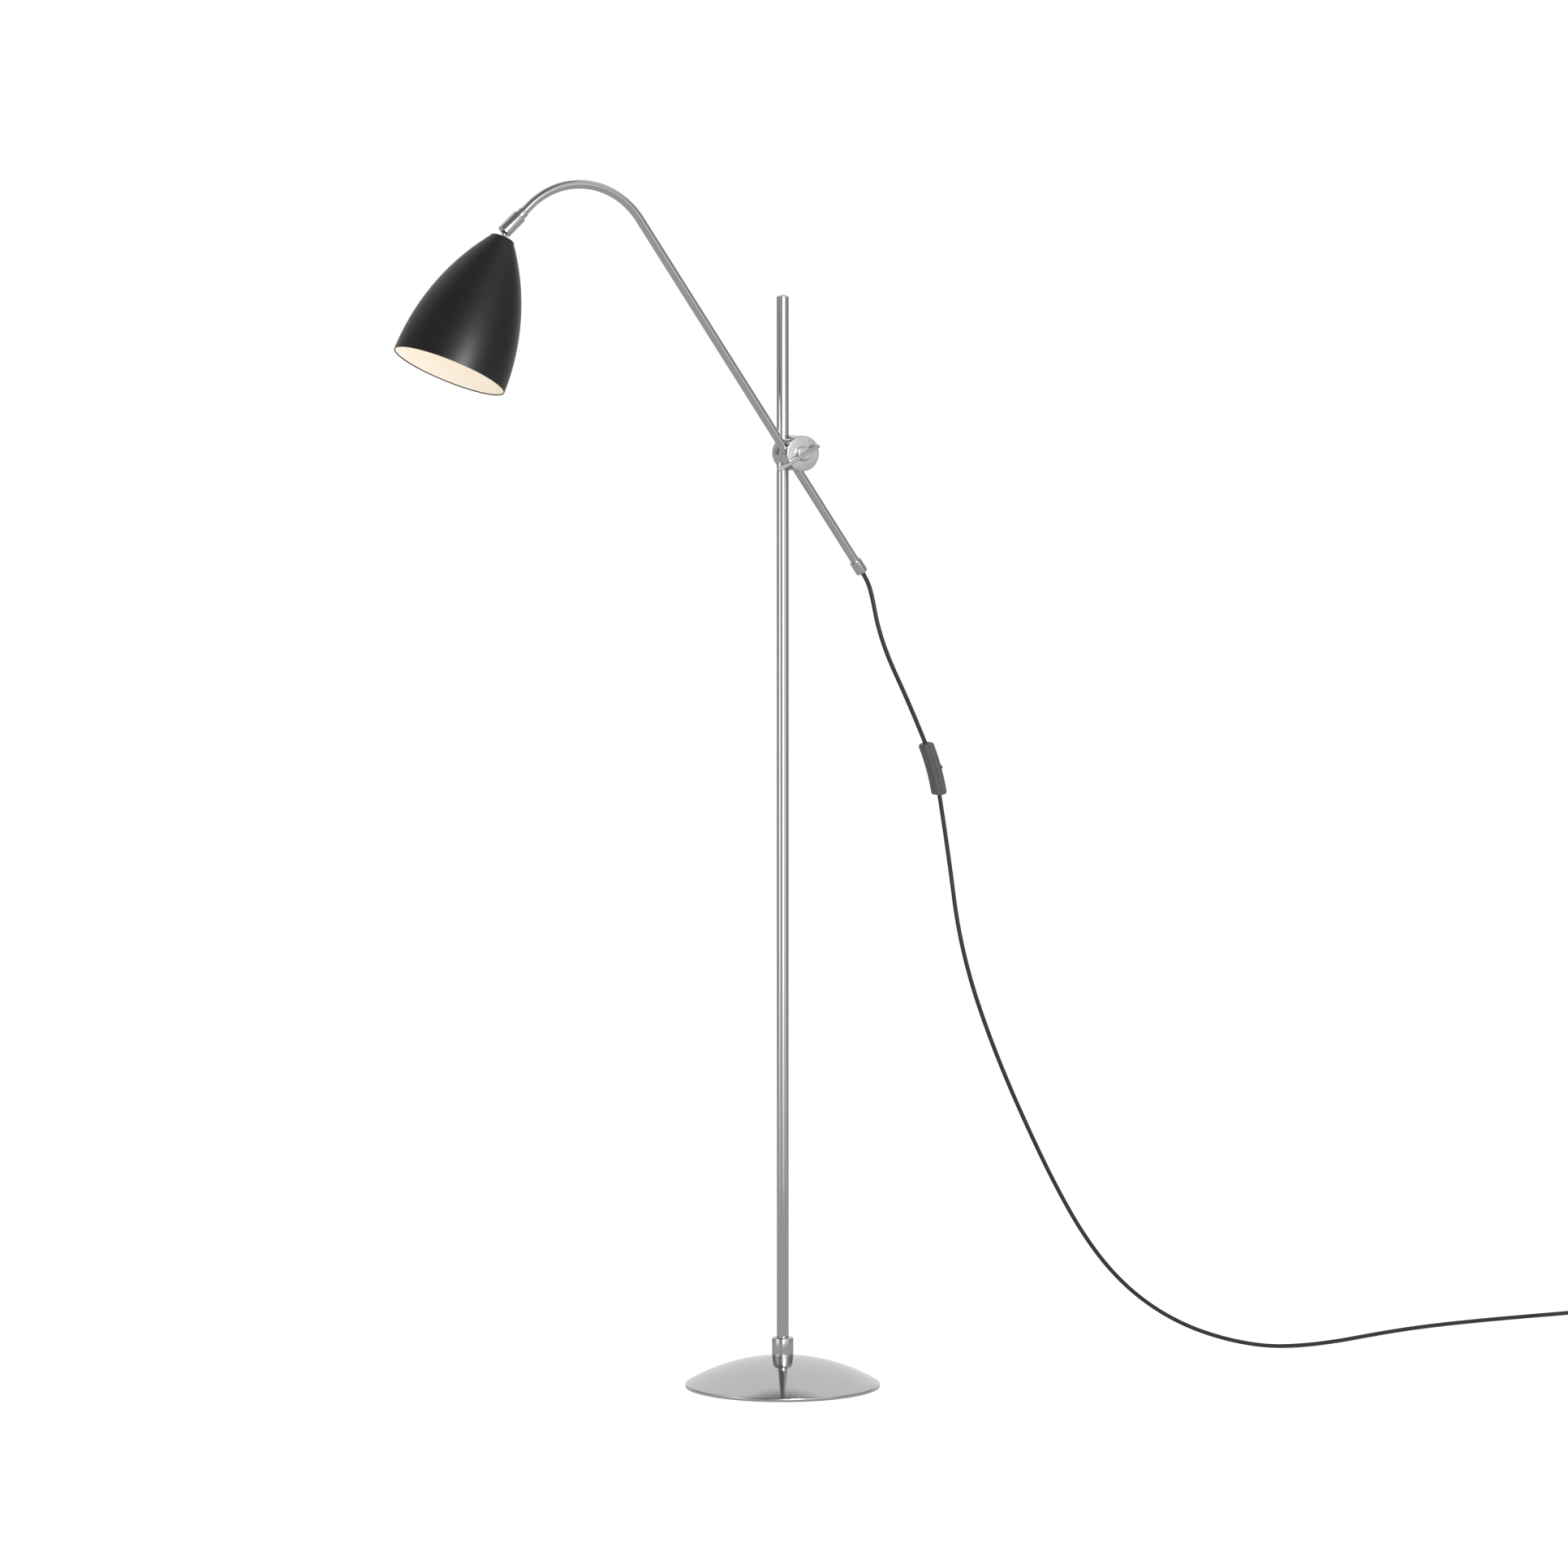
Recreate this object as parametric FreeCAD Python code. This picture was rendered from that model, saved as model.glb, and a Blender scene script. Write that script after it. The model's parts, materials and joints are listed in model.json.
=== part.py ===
"""Pharmacy floor lamp: a weighted round foot, a plain pole, a two-disc clamp with a lever,
a hooked arm that slides and tilts through the clamp, and a spun shade on a ball joint.

Millimetres. Origin at the middle of the foot's underside, +Z up. The arm lies in a plane
parallel to XZ, in front of the pole (towards -Y), with the shade towards -X."""
import FreeCAD, Part
import math
import os

from FreeCAD import Placement, Rotation, Vector

# ---------------------------------------------------------------- driving dimensions
RUN = 0.05                # radial clearance of a running fit
GAP = 0.3                 # clearance between pieces that move past each other

# foot
BASE_R = 112.5            # radius of the foot
BASE_EDGE = 4.0           # top of its upright edge above the floor
BASE_H = 35.0             # height of its dome, were it carried up to the middle
DOME_WALL = 1.5           # spun steel cover
PAD_T = 1.6               # rubber pad under the foot
PAD_INSET = 3.0           # edge of the pad inside the cover
SEAT_R = 13.0             # flat on top of the dome, where the collar stands
WEIGHT_GAP = 0.6          # air between the cover and the weight
STUD_R = 5.0              # threaded rod that ties the foot to the pole
NUT_AF = 17.0             # across flats
NUT_H = 8.0
WASHER_R = 14.0
WASHER_T = 2.0

# pole
POLE_R = 7.0
POLE_WALL = 1.5
POLE_TOP = 1255.5         # upper end of the tube above the floor
INSERT_L = 26.0           # threaded plug in the pole's lower end
STUD_GRIP = 18.0          # length of the stud inside that plug
CAP_DOME = 3.0            # height of the cap over the pole's end
CAP_RIM = 0.8             # its upright edge
CAP_PLUG = 12.0           # length of the cap inside the pole
COLLAR_R = 12.5
COLLAR_H = 23.0
COLLAR_CHAMFER = 1.2
GRUB_R = 2.0

# clamp
CLAMP_Z = 1078.0          # height of the clamp's bolt
BLOCK_W = 20.0            # length of each disc along the bolt
CLAMP_WALL = 1.2          # least metal outside the pole's bore
POLE_BOLT_WALL = 0.75     # metal between the bolt and the pole's bore
ARM_BOLT_WALL = 3.85      # metal between the bolt and the arm's bore
BUSH_WALL = 0.6           # nylon bush round the pole and round the arm
BUSH_SLIT = 1.5
DISC_EDGE = 0.9           # rounding of the discs' edges
FRICTION_R = 15.0
FRICTION_T = 0.8          # fibre washer between the discs
BOLT_R = 3.0
BOLT_HEAD_R = 6.0
BOLT_HEAD_H = 3.2
BOLT_HEAD_ROUND = 1.2
BOLT_SLOT_W = 1.4
BOLT_SLOT_DEEP = 1.2
GRIP_SLIT = 1.0           # slit that lets each disc close on its bush

# clamp lever
HUB_R = 8.5
HUB_L = 5.0
HUB_ROUND = 0.8
LEVER_LONG = 39.0         # from the bolt to the lever's rounded end
LEVER_SHORT = 18.5        # from the bolt to its square end
LEVER_T = 4.0
LEVER_DEEP = 7.0          # depth of the bar along the bolt
LEVER_ANGLE = 28.4        # of the short end above +X

# arm
ARM_R = 5.0
ARM_WALL = 1.2
ARM_LEAN = 34.8           # from upright, towards -X
ARM_BELOW = 158.6         # from the clamp down to the arm's lower end
ARM_ABOVE = 333.3         # from the clamp up to the start of the bend
BEND_R = 90.0
BEND_SWEEP = 98.2
NECK_RUN = 22.0           # straight end of the tube after the bend
END_COLLAR_R = 7.0
END_COLLAR_L = 16.0
END_CHAMFER = 0.5
GROMMET_L = 3.0
GROMMET_LIP = 1.2
CORD_R = 2.5

# neck
FERRULE_WALL = 1.15
FERRULE_L = 7.6
SOCKET_WALL = 1.85
SOCKET_L = 26.3
SOCKET_TOP = 3.0          # thickness of the socket's end wall
SOCKET_CHAMFER = 0.5
RETAINER_T = 1.6
RETAINER_LIP = 0.9        # how far it stands out from the tube
BALL_OVER = 0.2           # how much the ball's radius is over the retaining ring's
BALL_BACK = 4.0           # from the ball's middle to the socket's mouth
STEM_R = 2.4
NECK_TURN = 6.1           # rest turn of the socket on the arm
HEAD_TILT = 22.2          # rest tilt of the shade in the socket
SEAT_T = 3.4              # nylon seat above the ball
DISC_SPRINGS = 3

# shade, measured along its own axis from the ball's middle
SHADE_TOP = 10.0
SHADE_L = 163.0
SHADE_R = 66.0            # radius of the opening
SHADE_PROFILE = 275.0     # radius of the curved side
SHADE_WALL = 1.2
SHADE_SHOULDER = 3.0      # height of the rounded shoulder at its top
SHADE_TURN = 2.6          # how far the shoulder runs in from the side
SHOULDER_R = 5.5
SHOULDER_T = 1.4
HOLDER_R = 13.5
HOLDER_L = 41.0
HOLDER_CAP_R = 10.0
HOLDER_CAP_T = 5.6
SCREW_R = 6.9             # bulb's screw shell
SCREW_L = 24.0
BULB_R = 22.5
BULB_NECK = 18.0
BULB_WALL = 0.8

# in-line switch, a curved box on the cord
SWITCH_MID = (184.6, 711.5)   # middle of the switch in the arm's plane: X, Z
SWITCH_LEAN = 17.0        # its middle leans this far from upright
SWITCH_L = 63.0
SWITCH_BEND = 14.0        # how far it curves from end to end
SWITCH_T = 12.5
SWITCH_W = 17.0
SWITCH_WALL = 1.6
SWITCH_END = 8.5          # solid length at each end
SWITCH_ROUND = 1.8
SCREW_HOLE_R = 1.2        # housing screws: shank and sunk head
SCREW_HEAD_R = 2.2
SCREW_SINK = 1.4
ROCKER_R = 4.0
ROCKER_W = 8.0
ROCKER_SINK = 1.2         # rocker's pin below the face
ROCKER_PIN_R = 0.9
GROOVE_R = 0.55           # grip grooves across the rocker
GROOVE_STEP = 24.0
CORE_R = 1.9

# cord, with hand-chosen points of its free stretches, X, Y, Z
ARM_Y = -20.0             # plane of the arm and of the hanging cord
CORD_RUN_OUT = 11.8       # straight stretch out of the arm
SWITCH_RUN_IN = 27.4      # straight stretches into the switch and out of it
SWITCH_RUN_OUT = 32.4
CORD_UPPER = [
    (105.0, ARM_Y, 911.0),
    (111.5, ARM_Y, 879.0),
    (124.5, ARM_Y, 843.0),
    (146.0, ARM_Y, 800.5),
]
CORD_LOWER = [
    (207.0, ARM_Y, 590.0),
    (216.0, ARM_Y, 527.0),
    (233.0, ARM_Y, 462.0),
    (257.5, ARM_Y, 397.0),
    (285.0, ARM_Y, 335.0),
    (314.5, ARM_Y, 275.0),
    (345.5, ARM_Y, 216.5),
    (380.5, ARM_Y, 159.0),
    (420.0, ARM_Y, 109.5),
    (466.0, ARM_Y, 69.5),
    (519.0, ARM_Y, 38.5),
    (576.0, ARM_Y, 17.5),
    (632.0, ARM_Y, 5.0),
    (682.0, -18.5, 2.5),
    (737.0, -8.0, 2.5),
    (792.0, 13.5, 2.5),
    (848.0, 33.0, 2.5),
    (906.0, 46.5, 2.5),
    (967.0, 53.5, 2.5),
    (1031.0, 57.0, 2.5),
    (1092.0, 57.5, 2.6),
    (1140.0, 58.2, 2.8),
]
COIL_CENTRE = (1174.0, 90.0)
COIL_MID_R = 29.0         # radius at the middle of the wound turns
COIL_LAYERS = 2           # turns beside each other, and layers of them
TIE_T = 0.4
TIE_W = 4.0
TIE_ANGLE = -65.0         # where the strap is, round the coil
TAIL_ANGLE = -40.0        # where on the coil the plug's end leaves it
CORD_TAIL = [
    (1209.0, 83.5, 7.6),
    (1216.0, 99.0, 7.1),
]
PLUG_AT = (1218.5, 114.0, 6.85)   # where the cord enters the strain relief
PLUG_TURN = 4.0           # plug's axis from +Y towards +X
RELIEF_L = 26.0
RELIEF_R = (4.6, 3.3)     # at the plug and at the cord
PLUG_W = 35.3
PLUG_T = 13.7
PLUG_L = 32.0
PLUG_NECK_W = 15.0        # width where the strain relief joins it
PLUG_ROUND = 2.5
PLUG_EDGE = 1.5
PIN_R = 2.0
PIN_L = 19.0
PIN_TIP = 1.2
PIN_PITCH = 18.6

# ---------------------------------------------------------------- worked out from them
UP, BACK = Vector(0, 0, 1), Vector(0, 1, 0)
ORIGIN = Vector(0, 0, 0)
BUSH_POLE_R = POLE_R + RUN + BUSH_WALL
BUSH_ARM_R = ARM_R + RUN + BUSH_WALL
POLE_OFFSET = BOLT_R + POLE_BOLT_WALL + BUSH_POLE_R    # from the bolt to the pole's axis
ARM_OFFSET = BOLT_R + ARM_BOLT_WALL + BUSH_ARM_R       # from the bolt to the arm's axis
CLAMP_R = POLE_OFFSET + BUSH_POLE_R + CLAMP_WALL       # radius of both discs
FERRULE_R = ARM_R + FERRULE_WALL
BALL_R = ARM_R + RETAINER_LIP + BALL_OVER
SOCKET_R = BALL_R + RUN + SOCKET_WALL
POLE_BORE = POLE_R - POLE_WALL
ARM_BORE = ARM_R - ARM_WALL
DOME_ARC = (BASE_R ** 2 + (BASE_H - BASE_EDGE) ** 2) / (2 * (BASE_H - BASE_EDGE))
SEAT_Z = BASE_H - DOME_ARC + math.sqrt(DOME_ARC ** 2 - SEAT_R ** 2)
REAR_Y = BLOCK_W / 2                      # back of the clamp
SPLIT_Y = -BLOCK_W / 2                    # face of the rear disc
FRONT_TOP_Y = SPLIT_Y - FRICTION_T - RUN  # back of the front disc
FRONT_Y = ARM_Y - BLOCK_W / 2             # front of the clamp
COIL_WIDTH = 2 * CORD_R * COIL_LAYERS
NECK_LEAN = BEND_SWEEP + ARM_LEAN


def leaning(angle, at):
    """A place whose own +Z leans by angle from +Z towards -X."""
    return Placement(at, Rotation(BACK, -angle))


CLAMP = Vector(POLE_OFFSET, 0, CLAMP_Z)   # bolt's axis runs along Y through this point
ARM_FRAME = leaning(ARM_LEAN, Vector(CLAMP.x, ARM_Y, CLAMP.z))
ARM_FRAME.Base = ARM_FRAME.multVec(Vector(-ARM_OFFSET, 0, 0))
BEND_FRAME = ARM_FRAME.multiply(Placement(Vector(0, 0, ARM_ABOVE), Rotation()))
BEND_END = BEND_FRAME.multVec(Vector(
    BEND_R * (math.cos(math.radians(BEND_SWEEP)) - 1), 0, BEND_R * math.sin(math.radians(BEND_SWEEP))))
FERRULE_AT = NECK_RUN - SOCKET_TOP - RETAINER_T - RUN - FERRULE_L - GAP
SOCKET_AT = FERRULE_AT + FERRULE_L + RUN
NECK_FRAME = leaning(NECK_LEAN, BEND_END).multiply(Placement(ORIGIN, Rotation(UP, NECK_TURN)))
BALL_AT = SOCKET_AT + SOCKET_L - BALL_BACK
HEAD_FRAME = NECK_FRAME.multiply(Placement(Vector(0, 0, BALL_AT), Rotation(BACK, -HEAD_TILT)))
SWITCH_ARC = SWITCH_L / math.radians(SWITCH_BEND)
SWITCH_CENTRE = Vector(
    SWITCH_MID[0] - SWITCH_ARC * math.cos(math.radians(SWITCH_LEAN)), ARM_Y,
    SWITCH_MID[1] - SWITCH_ARC * math.sin(math.radians(SWITCH_LEAN)))


# ---------------------------------------------------------------- helpers
def cylinder(radius, start, end, place=None, bore=0.0):
    """A round bar or tube along local Z from start to end."""
    body = Part.makeCylinder(radius, end - start, Vector(0, 0, start))
    if bore:
        body = body.cut(Part.makeCylinder(bore, end - start + 2, Vector(0, 0, start - 1)))
    return moved(body, place)


def across(radius, back, front, centre=None):
    """A round bar along Y between two Y values, on the clamp's bolt unless told otherwise."""
    centre = centre or CLAMP
    return Part.makeCylinder(radius, back - front, Vector(centre.x, front, centre.z), BACK)


def moved(shape, place):
    if place is not None:
        shape.Placement = place
    return shape


def turned(points, place=None, arcs=None):
    """Revolve a closed outline of (radius, z) points about local Z.
    arcs maps the number of an edge to a point that the edge bends through."""
    arcs = arcs or {}
    corners = [Vector(r, 0, z) for r, z in points]
    edges = []
    for number, (a, b) in enumerate(zip(corners, corners[1:] + corners[:1])):
        if number in arcs:
            r, z = arcs[number]
            edges.append(Part.Arc(a, Vector(r, 0, z), b).toShape())
        else:
            edges.append(Part.LineSegment(a, b).toShape())
    face = Part.Face(Part.Wire(edges))
    return moved(face.revolve(ORIGIN, UP, 360), place)


def sweep(edges, radius):
    """A round solid bar along a smooth path."""
    path = Part.Wire(edges)
    first = edges[0]
    start = first.Vertexes[0].Point
    along = first.tangentAt(first.FirstParameter)
    ring = Part.Wire(Part.Circle(start, along, radius).toShape())
    return path.makePipeShell([ring], True, False)


def cord_path(points):
    """Straight runs joined by tangent arcs, each arc as large as its two runs allow."""
    spots = [Vector(*p) for p in points]
    edges, radii = [], []
    here = spots[0]
    for before, corner, after in zip(spots, spots[1:], spots[2:]):
        inward = (before - corner).normalize()
        outward = (after - corner).normalize()
        half = (math.pi - inward.getAngle(outward)) / 2
        trim = 0.45 * min((corner - before).Length, (after - corner).Length)
        a, b = corner + inward * trim, corner + outward * trim
        radius = trim / math.tan(half)
        bisector = (inward + outward).normalize()
        middle = corner + bisector * (math.hypot(radius, trim) - radius)
        edges.append(Part.LineSegment(here, a).toShape())
        edges.append(Part.Arc(a, middle, b).toShape())
        radii.append(radius)
        here = b
    edges.append(Part.LineSegment(here, spots[-1]).toShape())
    return edges, radii


def cord_tube(name, points):
    """A stretch of free cord, with its length, tightest bends and volume printed."""
    edges, radii = cord_path(points)
    tube = sweep(edges, CORD_R)
    length = sum(edge.Length for edge in edges)
    section = math.pi * CORD_R ** 2
    print("%s: length %.1f, smallest radii %s, volume ratio %.4f" % (
        name, length, [round(r) for r in sorted(radii)[:3]], tube.Volume / (section * length)))
    return tube


def local_box(x, y, z, place=None):
    """A box from three (low, high) pairs."""
    box = Part.makeBox(x[1] - x[0], y[1] - y[0], z[1] - z[0], Vector(x[0], y[0], z[0]))
    return moved(box, place)


# ---------------------------------------------------------------- foot
def dome_point(radius, offset=0.0):
    """Height of the dome's surface, or of one parallel to it inside."""
    arc = DOME_ARC - offset
    return BASE_H - DOME_ARC + math.sqrt(arc ** 2 - radius ** 2)


def base_dome():
    inner = BASE_R - DOME_WALL
    low = PAD_T / 2
    outline = [
        (BASE_R, low), (BASE_R, BASE_EDGE), (SEAT_R, SEAT_Z), (STUD_R + RUN, SEAT_Z),
        (STUD_R + RUN, SEAT_Z - DOME_WALL), (SEAT_R, SEAT_Z - DOME_WALL),
        (inner, dome_point(inner, DOME_WALL)), (inner, low)]
    half_way = (BASE_R + SEAT_R) / 2
    arcs = {1: (half_way, dome_point(half_way)), 5: (half_way, dome_point(half_way, DOME_WALL))}
    return turned(outline, arcs=arcs)


def base_weight():
    """Cast iron, with a pocket underneath for the nut and its washer."""
    offset = DOME_WALL + WEIGHT_GAP
    outer = BASE_R - DOME_WALL - WEIGHT_GAP
    top = SEAT_Z - DOME_WALL
    flat = SEAT_R
    low = PAD_T
    pocket = low + NUT_H + WASHER_T + 1
    outline = [
        (outer, low), (outer, dome_point(outer, offset)), (flat, dome_point(flat, offset)),
        (flat, top), (STUD_R + RUN, top), (STUD_R + RUN, pocket),
        (WASHER_R + 1, pocket), (WASHER_R + 1, low)]
    half_way = (outer + flat) / 2
    return turned(outline, arcs={1: (half_way, dome_point(half_way, offset))})


def base_pad():
    return cylinder(BASE_R - PAD_INSET, 0, PAD_T)


def nut_top():
    return PAD_T + 1 + NUT_H


def foot_washer():
    return cylinder(WASHER_R, nut_top(), nut_top() + WASHER_T, bore=STUD_R)


def foot_nut():
    """Hexagon nut under the weight."""
    corner = NUT_AF / 2 / math.cos(math.pi / 6)
    ring = [Vector(corner * math.cos(k * math.pi / 3), corner * math.sin(k * math.pi / 3), PAD_T + 1)
            for k in range(7)]
    nut = Part.Face(Part.makePolygon(ring)).extrude(Vector(0, 0, NUT_H))
    return nut.cut(cylinder(STUD_R, 0, nut_top() + 1))


def foot_stud():
    return cylinder(STUD_R, PAD_T + 0.5, SEAT_Z + STUD_GRIP)


def pole_insert():
    return cylinder(POLE_BORE, SEAT_Z, SEAT_Z + INSERT_L, bore=STUD_R)


def pole():
    return cylinder(POLE_R, SEAT_Z, POLE_TOP, bore=POLE_BORE)


def pole_cap():
    """A domed cap with a plug that is pressed into the pole."""
    outline = [
        (0, POLE_TOP - CAP_PLUG), (POLE_BORE, POLE_TOP - CAP_PLUG), (POLE_BORE, POLE_TOP),
        (POLE_R, POLE_TOP), (POLE_R, POLE_TOP + CAP_RIM), (0, POLE_TOP + CAP_DOME)]
    rise = CAP_DOME - CAP_RIM
    arc = (POLE_R ** 2 + rise ** 2) / (2 * rise)
    half_way = POLE_R / 2
    middle = POLE_TOP + CAP_DOME - arc + math.sqrt(arc ** 2 - half_way ** 2)
    return turned(outline, arcs={4: (half_way, middle)})


def grub_height():
    return SEAT_Z + COLLAR_H / 2


def grub_bar(reach):
    """The grub screw's round bar, at the back of the collar."""
    return Part.makeCylinder(GRUB_R, reach - POLE_R, Vector(0, POLE_R, grub_height()), BACK)


def pole_collar():
    top = SEAT_Z + COLLAR_H
    c = COLLAR_CHAMFER
    outline = [
        (POLE_R, SEAT_Z), (COLLAR_R, SEAT_Z), (COLLAR_R, top - c), (COLLAR_R - c, top), (POLE_R, top)]
    return turned(outline).cut(grub_bar(COLLAR_R + 1))


def collar_grub_screw():
    screw = grub_bar(COLLAR_R - 0.6)
    socket = Part.makeCylinder(GRUB_R * 0.5, 2.5, Vector(0, COLLAR_R - 3.1, grub_height()), BACK)
    return screw.cut(socket)


# ---------------------------------------------------------------- clamp
def disc(back, front):
    """One of the clamp's discs, with rounded outer edges."""
    body = across(CLAMP_R, back, front)
    rims = [e for e in body.Edges if e.Closed and abs(e.Length - 2 * math.pi * CLAMP_R) < 1e-3]
    return body.makeFillet(DISC_EDGE, rims)


def pole_block():
    """Rear disc, bored upright for the pole's bush and slit towards the split."""
    body = disc(REAR_Y, SPLIT_Y)
    reach = CLAMP_R + 1
    bore = cylinder(BUSH_POLE_R + RUN, CLAMP_Z - reach, CLAMP_Z + reach)
    slit = local_box((-GRIP_SLIT / 2, GRIP_SLIT / 2), (SPLIT_Y - 1, 0), (CLAMP_Z - reach, CLAMP_Z + reach))
    return body.cut(bore).cut(slit).cut(across(BOLT_R, REAR_Y + 1, SPLIT_Y - 1))


def friction_washer():
    """Fibre ring between the two discs, held on the rear one by a dab of glue."""
    ring = across(FRICTION_R, SPLIT_Y, SPLIT_Y - FRICTION_T)
    return ring.cut(across(BOLT_R, SPLIT_Y + 1, SPLIT_Y - FRICTION_T - 1))


def arm_block():
    """Front disc, bored along the arm's lean for the arm's bush."""
    body = disc(FRONT_TOP_Y, FRONT_Y)
    reach = CLAMP_R + 1
    bore = cylinder(BUSH_ARM_R + RUN, -reach, reach, ARM_FRAME)
    slit = local_box((-GRIP_SLIT / 2, GRIP_SLIT / 2), (0, BLOCK_W), (-reach, reach), ARM_FRAME)
    return body.cut(bore).cut(slit).cut(across(BOLT_R + RUN, FRONT_TOP_Y + 1, FRONT_Y - 1))


def bush(radius, wall, half, place):
    """A slit nylon bush on a round bar."""
    body = cylinder(radius + RUN + wall, -half, half, bore=radius + RUN)
    slit = local_box((0, radius + wall + 1), (-BUSH_SLIT / 2, BUSH_SLIT / 2), (-half - 1, half + 1))
    return moved(body.cut(slit), place)


def chord(offset, radius):
    """Half the length of a disc's bore at its outer wall."""
    return math.sqrt(CLAMP_R ** 2 - (offset + radius) ** 2)


def pole_bush():
    half = chord(POLE_OFFSET, BUSH_POLE_R) + 4
    return bush(POLE_R, BUSH_WALL, half, Placement(Vector(0, 0, CLAMP_Z), Rotation(UP, 90)))


def arm_bush():
    half = chord(ARM_OFFSET, BUSH_ARM_R) + 2
    return bush(ARM_R, BUSH_WALL, half, ARM_FRAME)


def clamp_bolt():
    """Bolt with a low round head at the back; its thread ends in the lever's hub."""
    head = across(BOLT_HEAD_R, REAR_Y + BOLT_HEAD_H, REAR_Y)
    rim = [e for e in head.Edges if e.Closed and e.CenterOfMass.y > REAR_Y + 1]
    head = head.makeFillet(BOLT_HEAD_ROUND, rim)
    half, top = BOLT_SLOT_W / 2, REAR_Y + BOLT_HEAD_H
    slot = local_box((CLAMP.x - half, CLAMP.x + half), (top - BOLT_SLOT_DEEP, top + 1),
                     (CLAMP_Z - BOLT_HEAD_R, CLAMP_Z + BOLT_HEAD_R))
    return head.cut(slot).fuse(across(BOLT_R, REAR_Y, FRONT_Y - HUB_L)).removeSplitter()


def lever_back():
    """Y of the lever's back face."""
    return FRONT_Y - RUN - WASHER_T / 2


def lever_washer():
    ring = across(HUB_R + 0.5, FRONT_Y - RUN, lever_back())
    return ring.cut(across(BOLT_R + RUN, FRONT_Y + 1, lever_back() - 1))


def clamp_lever():
    """Round hub with a flat bar standing on edge across it."""
    hub_front = lever_back() - HUB_L
    front = hub_front - LEVER_DEEP / 2
    hub = across(HUB_R, lever_back(), hub_front)
    hub = hub.makeFillet(HUB_ROUND, [e for e in hub.Edges if e.Closed])
    place = Placement(Vector(CLAMP.x, 0, CLAMP.z), Rotation(BACK, -LEVER_ANGLE))
    half = LEVER_T / 2
    bar = local_box((-LEVER_LONG + half, LEVER_SHORT), (front, front + LEVER_DEEP), (-half, half))
    end = Part.makeCylinder(half, LEVER_DEEP, Vector(-LEVER_LONG + half, front, 0), BACK)
    bar = moved(bar.fuse(end).removeSplitter(), place)
    body = hub.fuse(bar).removeSplitter()
    return body.cut(across(BOLT_R + RUN, lever_back() + 1, FRONT_Y - HUB_L - GAP))


# ---------------------------------------------------------------- arm
def arm_edges(start, end):
    """The arm's centre line: straight, bend, straight."""
    low = ARM_FRAME.multVec(Vector(0, 0, start))
    tangent = BEND_FRAME.Base
    half = math.radians(BEND_SWEEP) / 2
    middle = BEND_FRAME.multVec(Vector(BEND_R * (math.cos(half) - 1), 0, BEND_R * math.sin(half)))
    high = NECK_FRAME.multVec(Vector(0, 0, end))
    return [
        Part.LineSegment(low, tangent).toShape(),
        Part.Arc(tangent, middle, BEND_END).toShape(),
        Part.LineSegment(BEND_END, high).toShape()]


def arm_tube():
    start = -ARM_BELOW + GROMMET_L
    outer = sweep(arm_edges(start, NECK_RUN), ARM_R)
    return outer.cut(sweep(arm_edges(start - 1, NECK_RUN + 1), ARM_BORE))


def arm_end_collar():
    low = -ARM_BELOW
    high = low + END_COLLAR_L
    c = END_CHAMFER
    outline = [(ARM_R, low), (END_COLLAR_R - c, low), (END_COLLAR_R, low + c),
               (END_COLLAR_R, high - c), (END_COLLAR_R - c, high), (ARM_R, high)]
    return turned(outline, ARM_FRAME)


def cord_grommet():
    """Plastic plug in the arm's lower end, which the cord comes out of."""
    low = -ARM_BELOW - GROMMET_LIP
    outline = [(CORD_R, low), (ARM_R - 0.8, low), (ARM_R, low + GROMMET_LIP),
               (ARM_R, -ARM_BELOW + GROMMET_L), (CORD_R, -ARM_BELOW + GROMMET_L)]
    return turned(outline, ARM_FRAME)


def arm_flex():
    """The same cord, where it runs inside the arm."""
    return sweep(arm_edges(-ARM_BELOW - GROMMET_LIP, NECK_RUN - 1), CORD_R)


def neck_ferrule():
    return cylinder(FERRULE_R, FERRULE_AT, FERRULE_AT + FERRULE_L, NECK_FRAME, bore=ARM_R)


def neck_retainer():
    """Ring on the end of the tube, which keeps the socket on."""
    start = SOCKET_AT + SOCKET_TOP + RUN
    return cylinder(ARM_R + RETAINER_LIP, start, start + RETAINER_T, NECK_FRAME, bore=ARM_R)


# ---------------------------------------------------------------- ball joint
def neck_socket():
    """Slotted cup: the ball sits in its mouth and the slot lets the stem swing to one side."""
    body = cylinder(SOCKET_R, SOCKET_AT, SOCKET_AT + SOCKET_L)
    rims = [e for e in body.Edges if e.Closed]
    body = body.makeChamfer(SOCKET_CHAMFER, rims)
    hollow = cylinder(BALL_R + RUN, SOCKET_AT + SOCKET_TOP, BALL_AT)
    ball = Part.makeSphere(BALL_R + RUN, Vector(0, 0, BALL_AT))
    pivot = cylinder(ARM_R + RUN, SOCKET_AT - 1, SOCKET_AT + SOCKET_TOP + 1)
    half = STEM_R + GAP
    side = -SOCKET_R - 1
    slot = local_box((side, 0), (-half, half), (BALL_AT, SOCKET_AT + SOCKET_L + 1))
    end = Part.makeCylinder(half, -side, Vector(0, 0, BALL_AT), Vector(-1, 0, 0))
    return moved(body.cut(hollow).cut(ball).cut(pivot).cut(slot).cut(end), NECK_FRAME)


def seat_top():
    return BALL_AT - BALL_R - SEAT_T / 2


def ball_seat():
    """Nylon ring with a hollow that matches the ball."""
    top = seat_top()
    ring = cylinder(BALL_R, top, top + SEAT_T, bore=STEM_R)
    return moved(ring.cut(Part.makeSphere(BALL_R + RUN, Vector(0, 0, BALL_AT))), NECK_FRAME)


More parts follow.
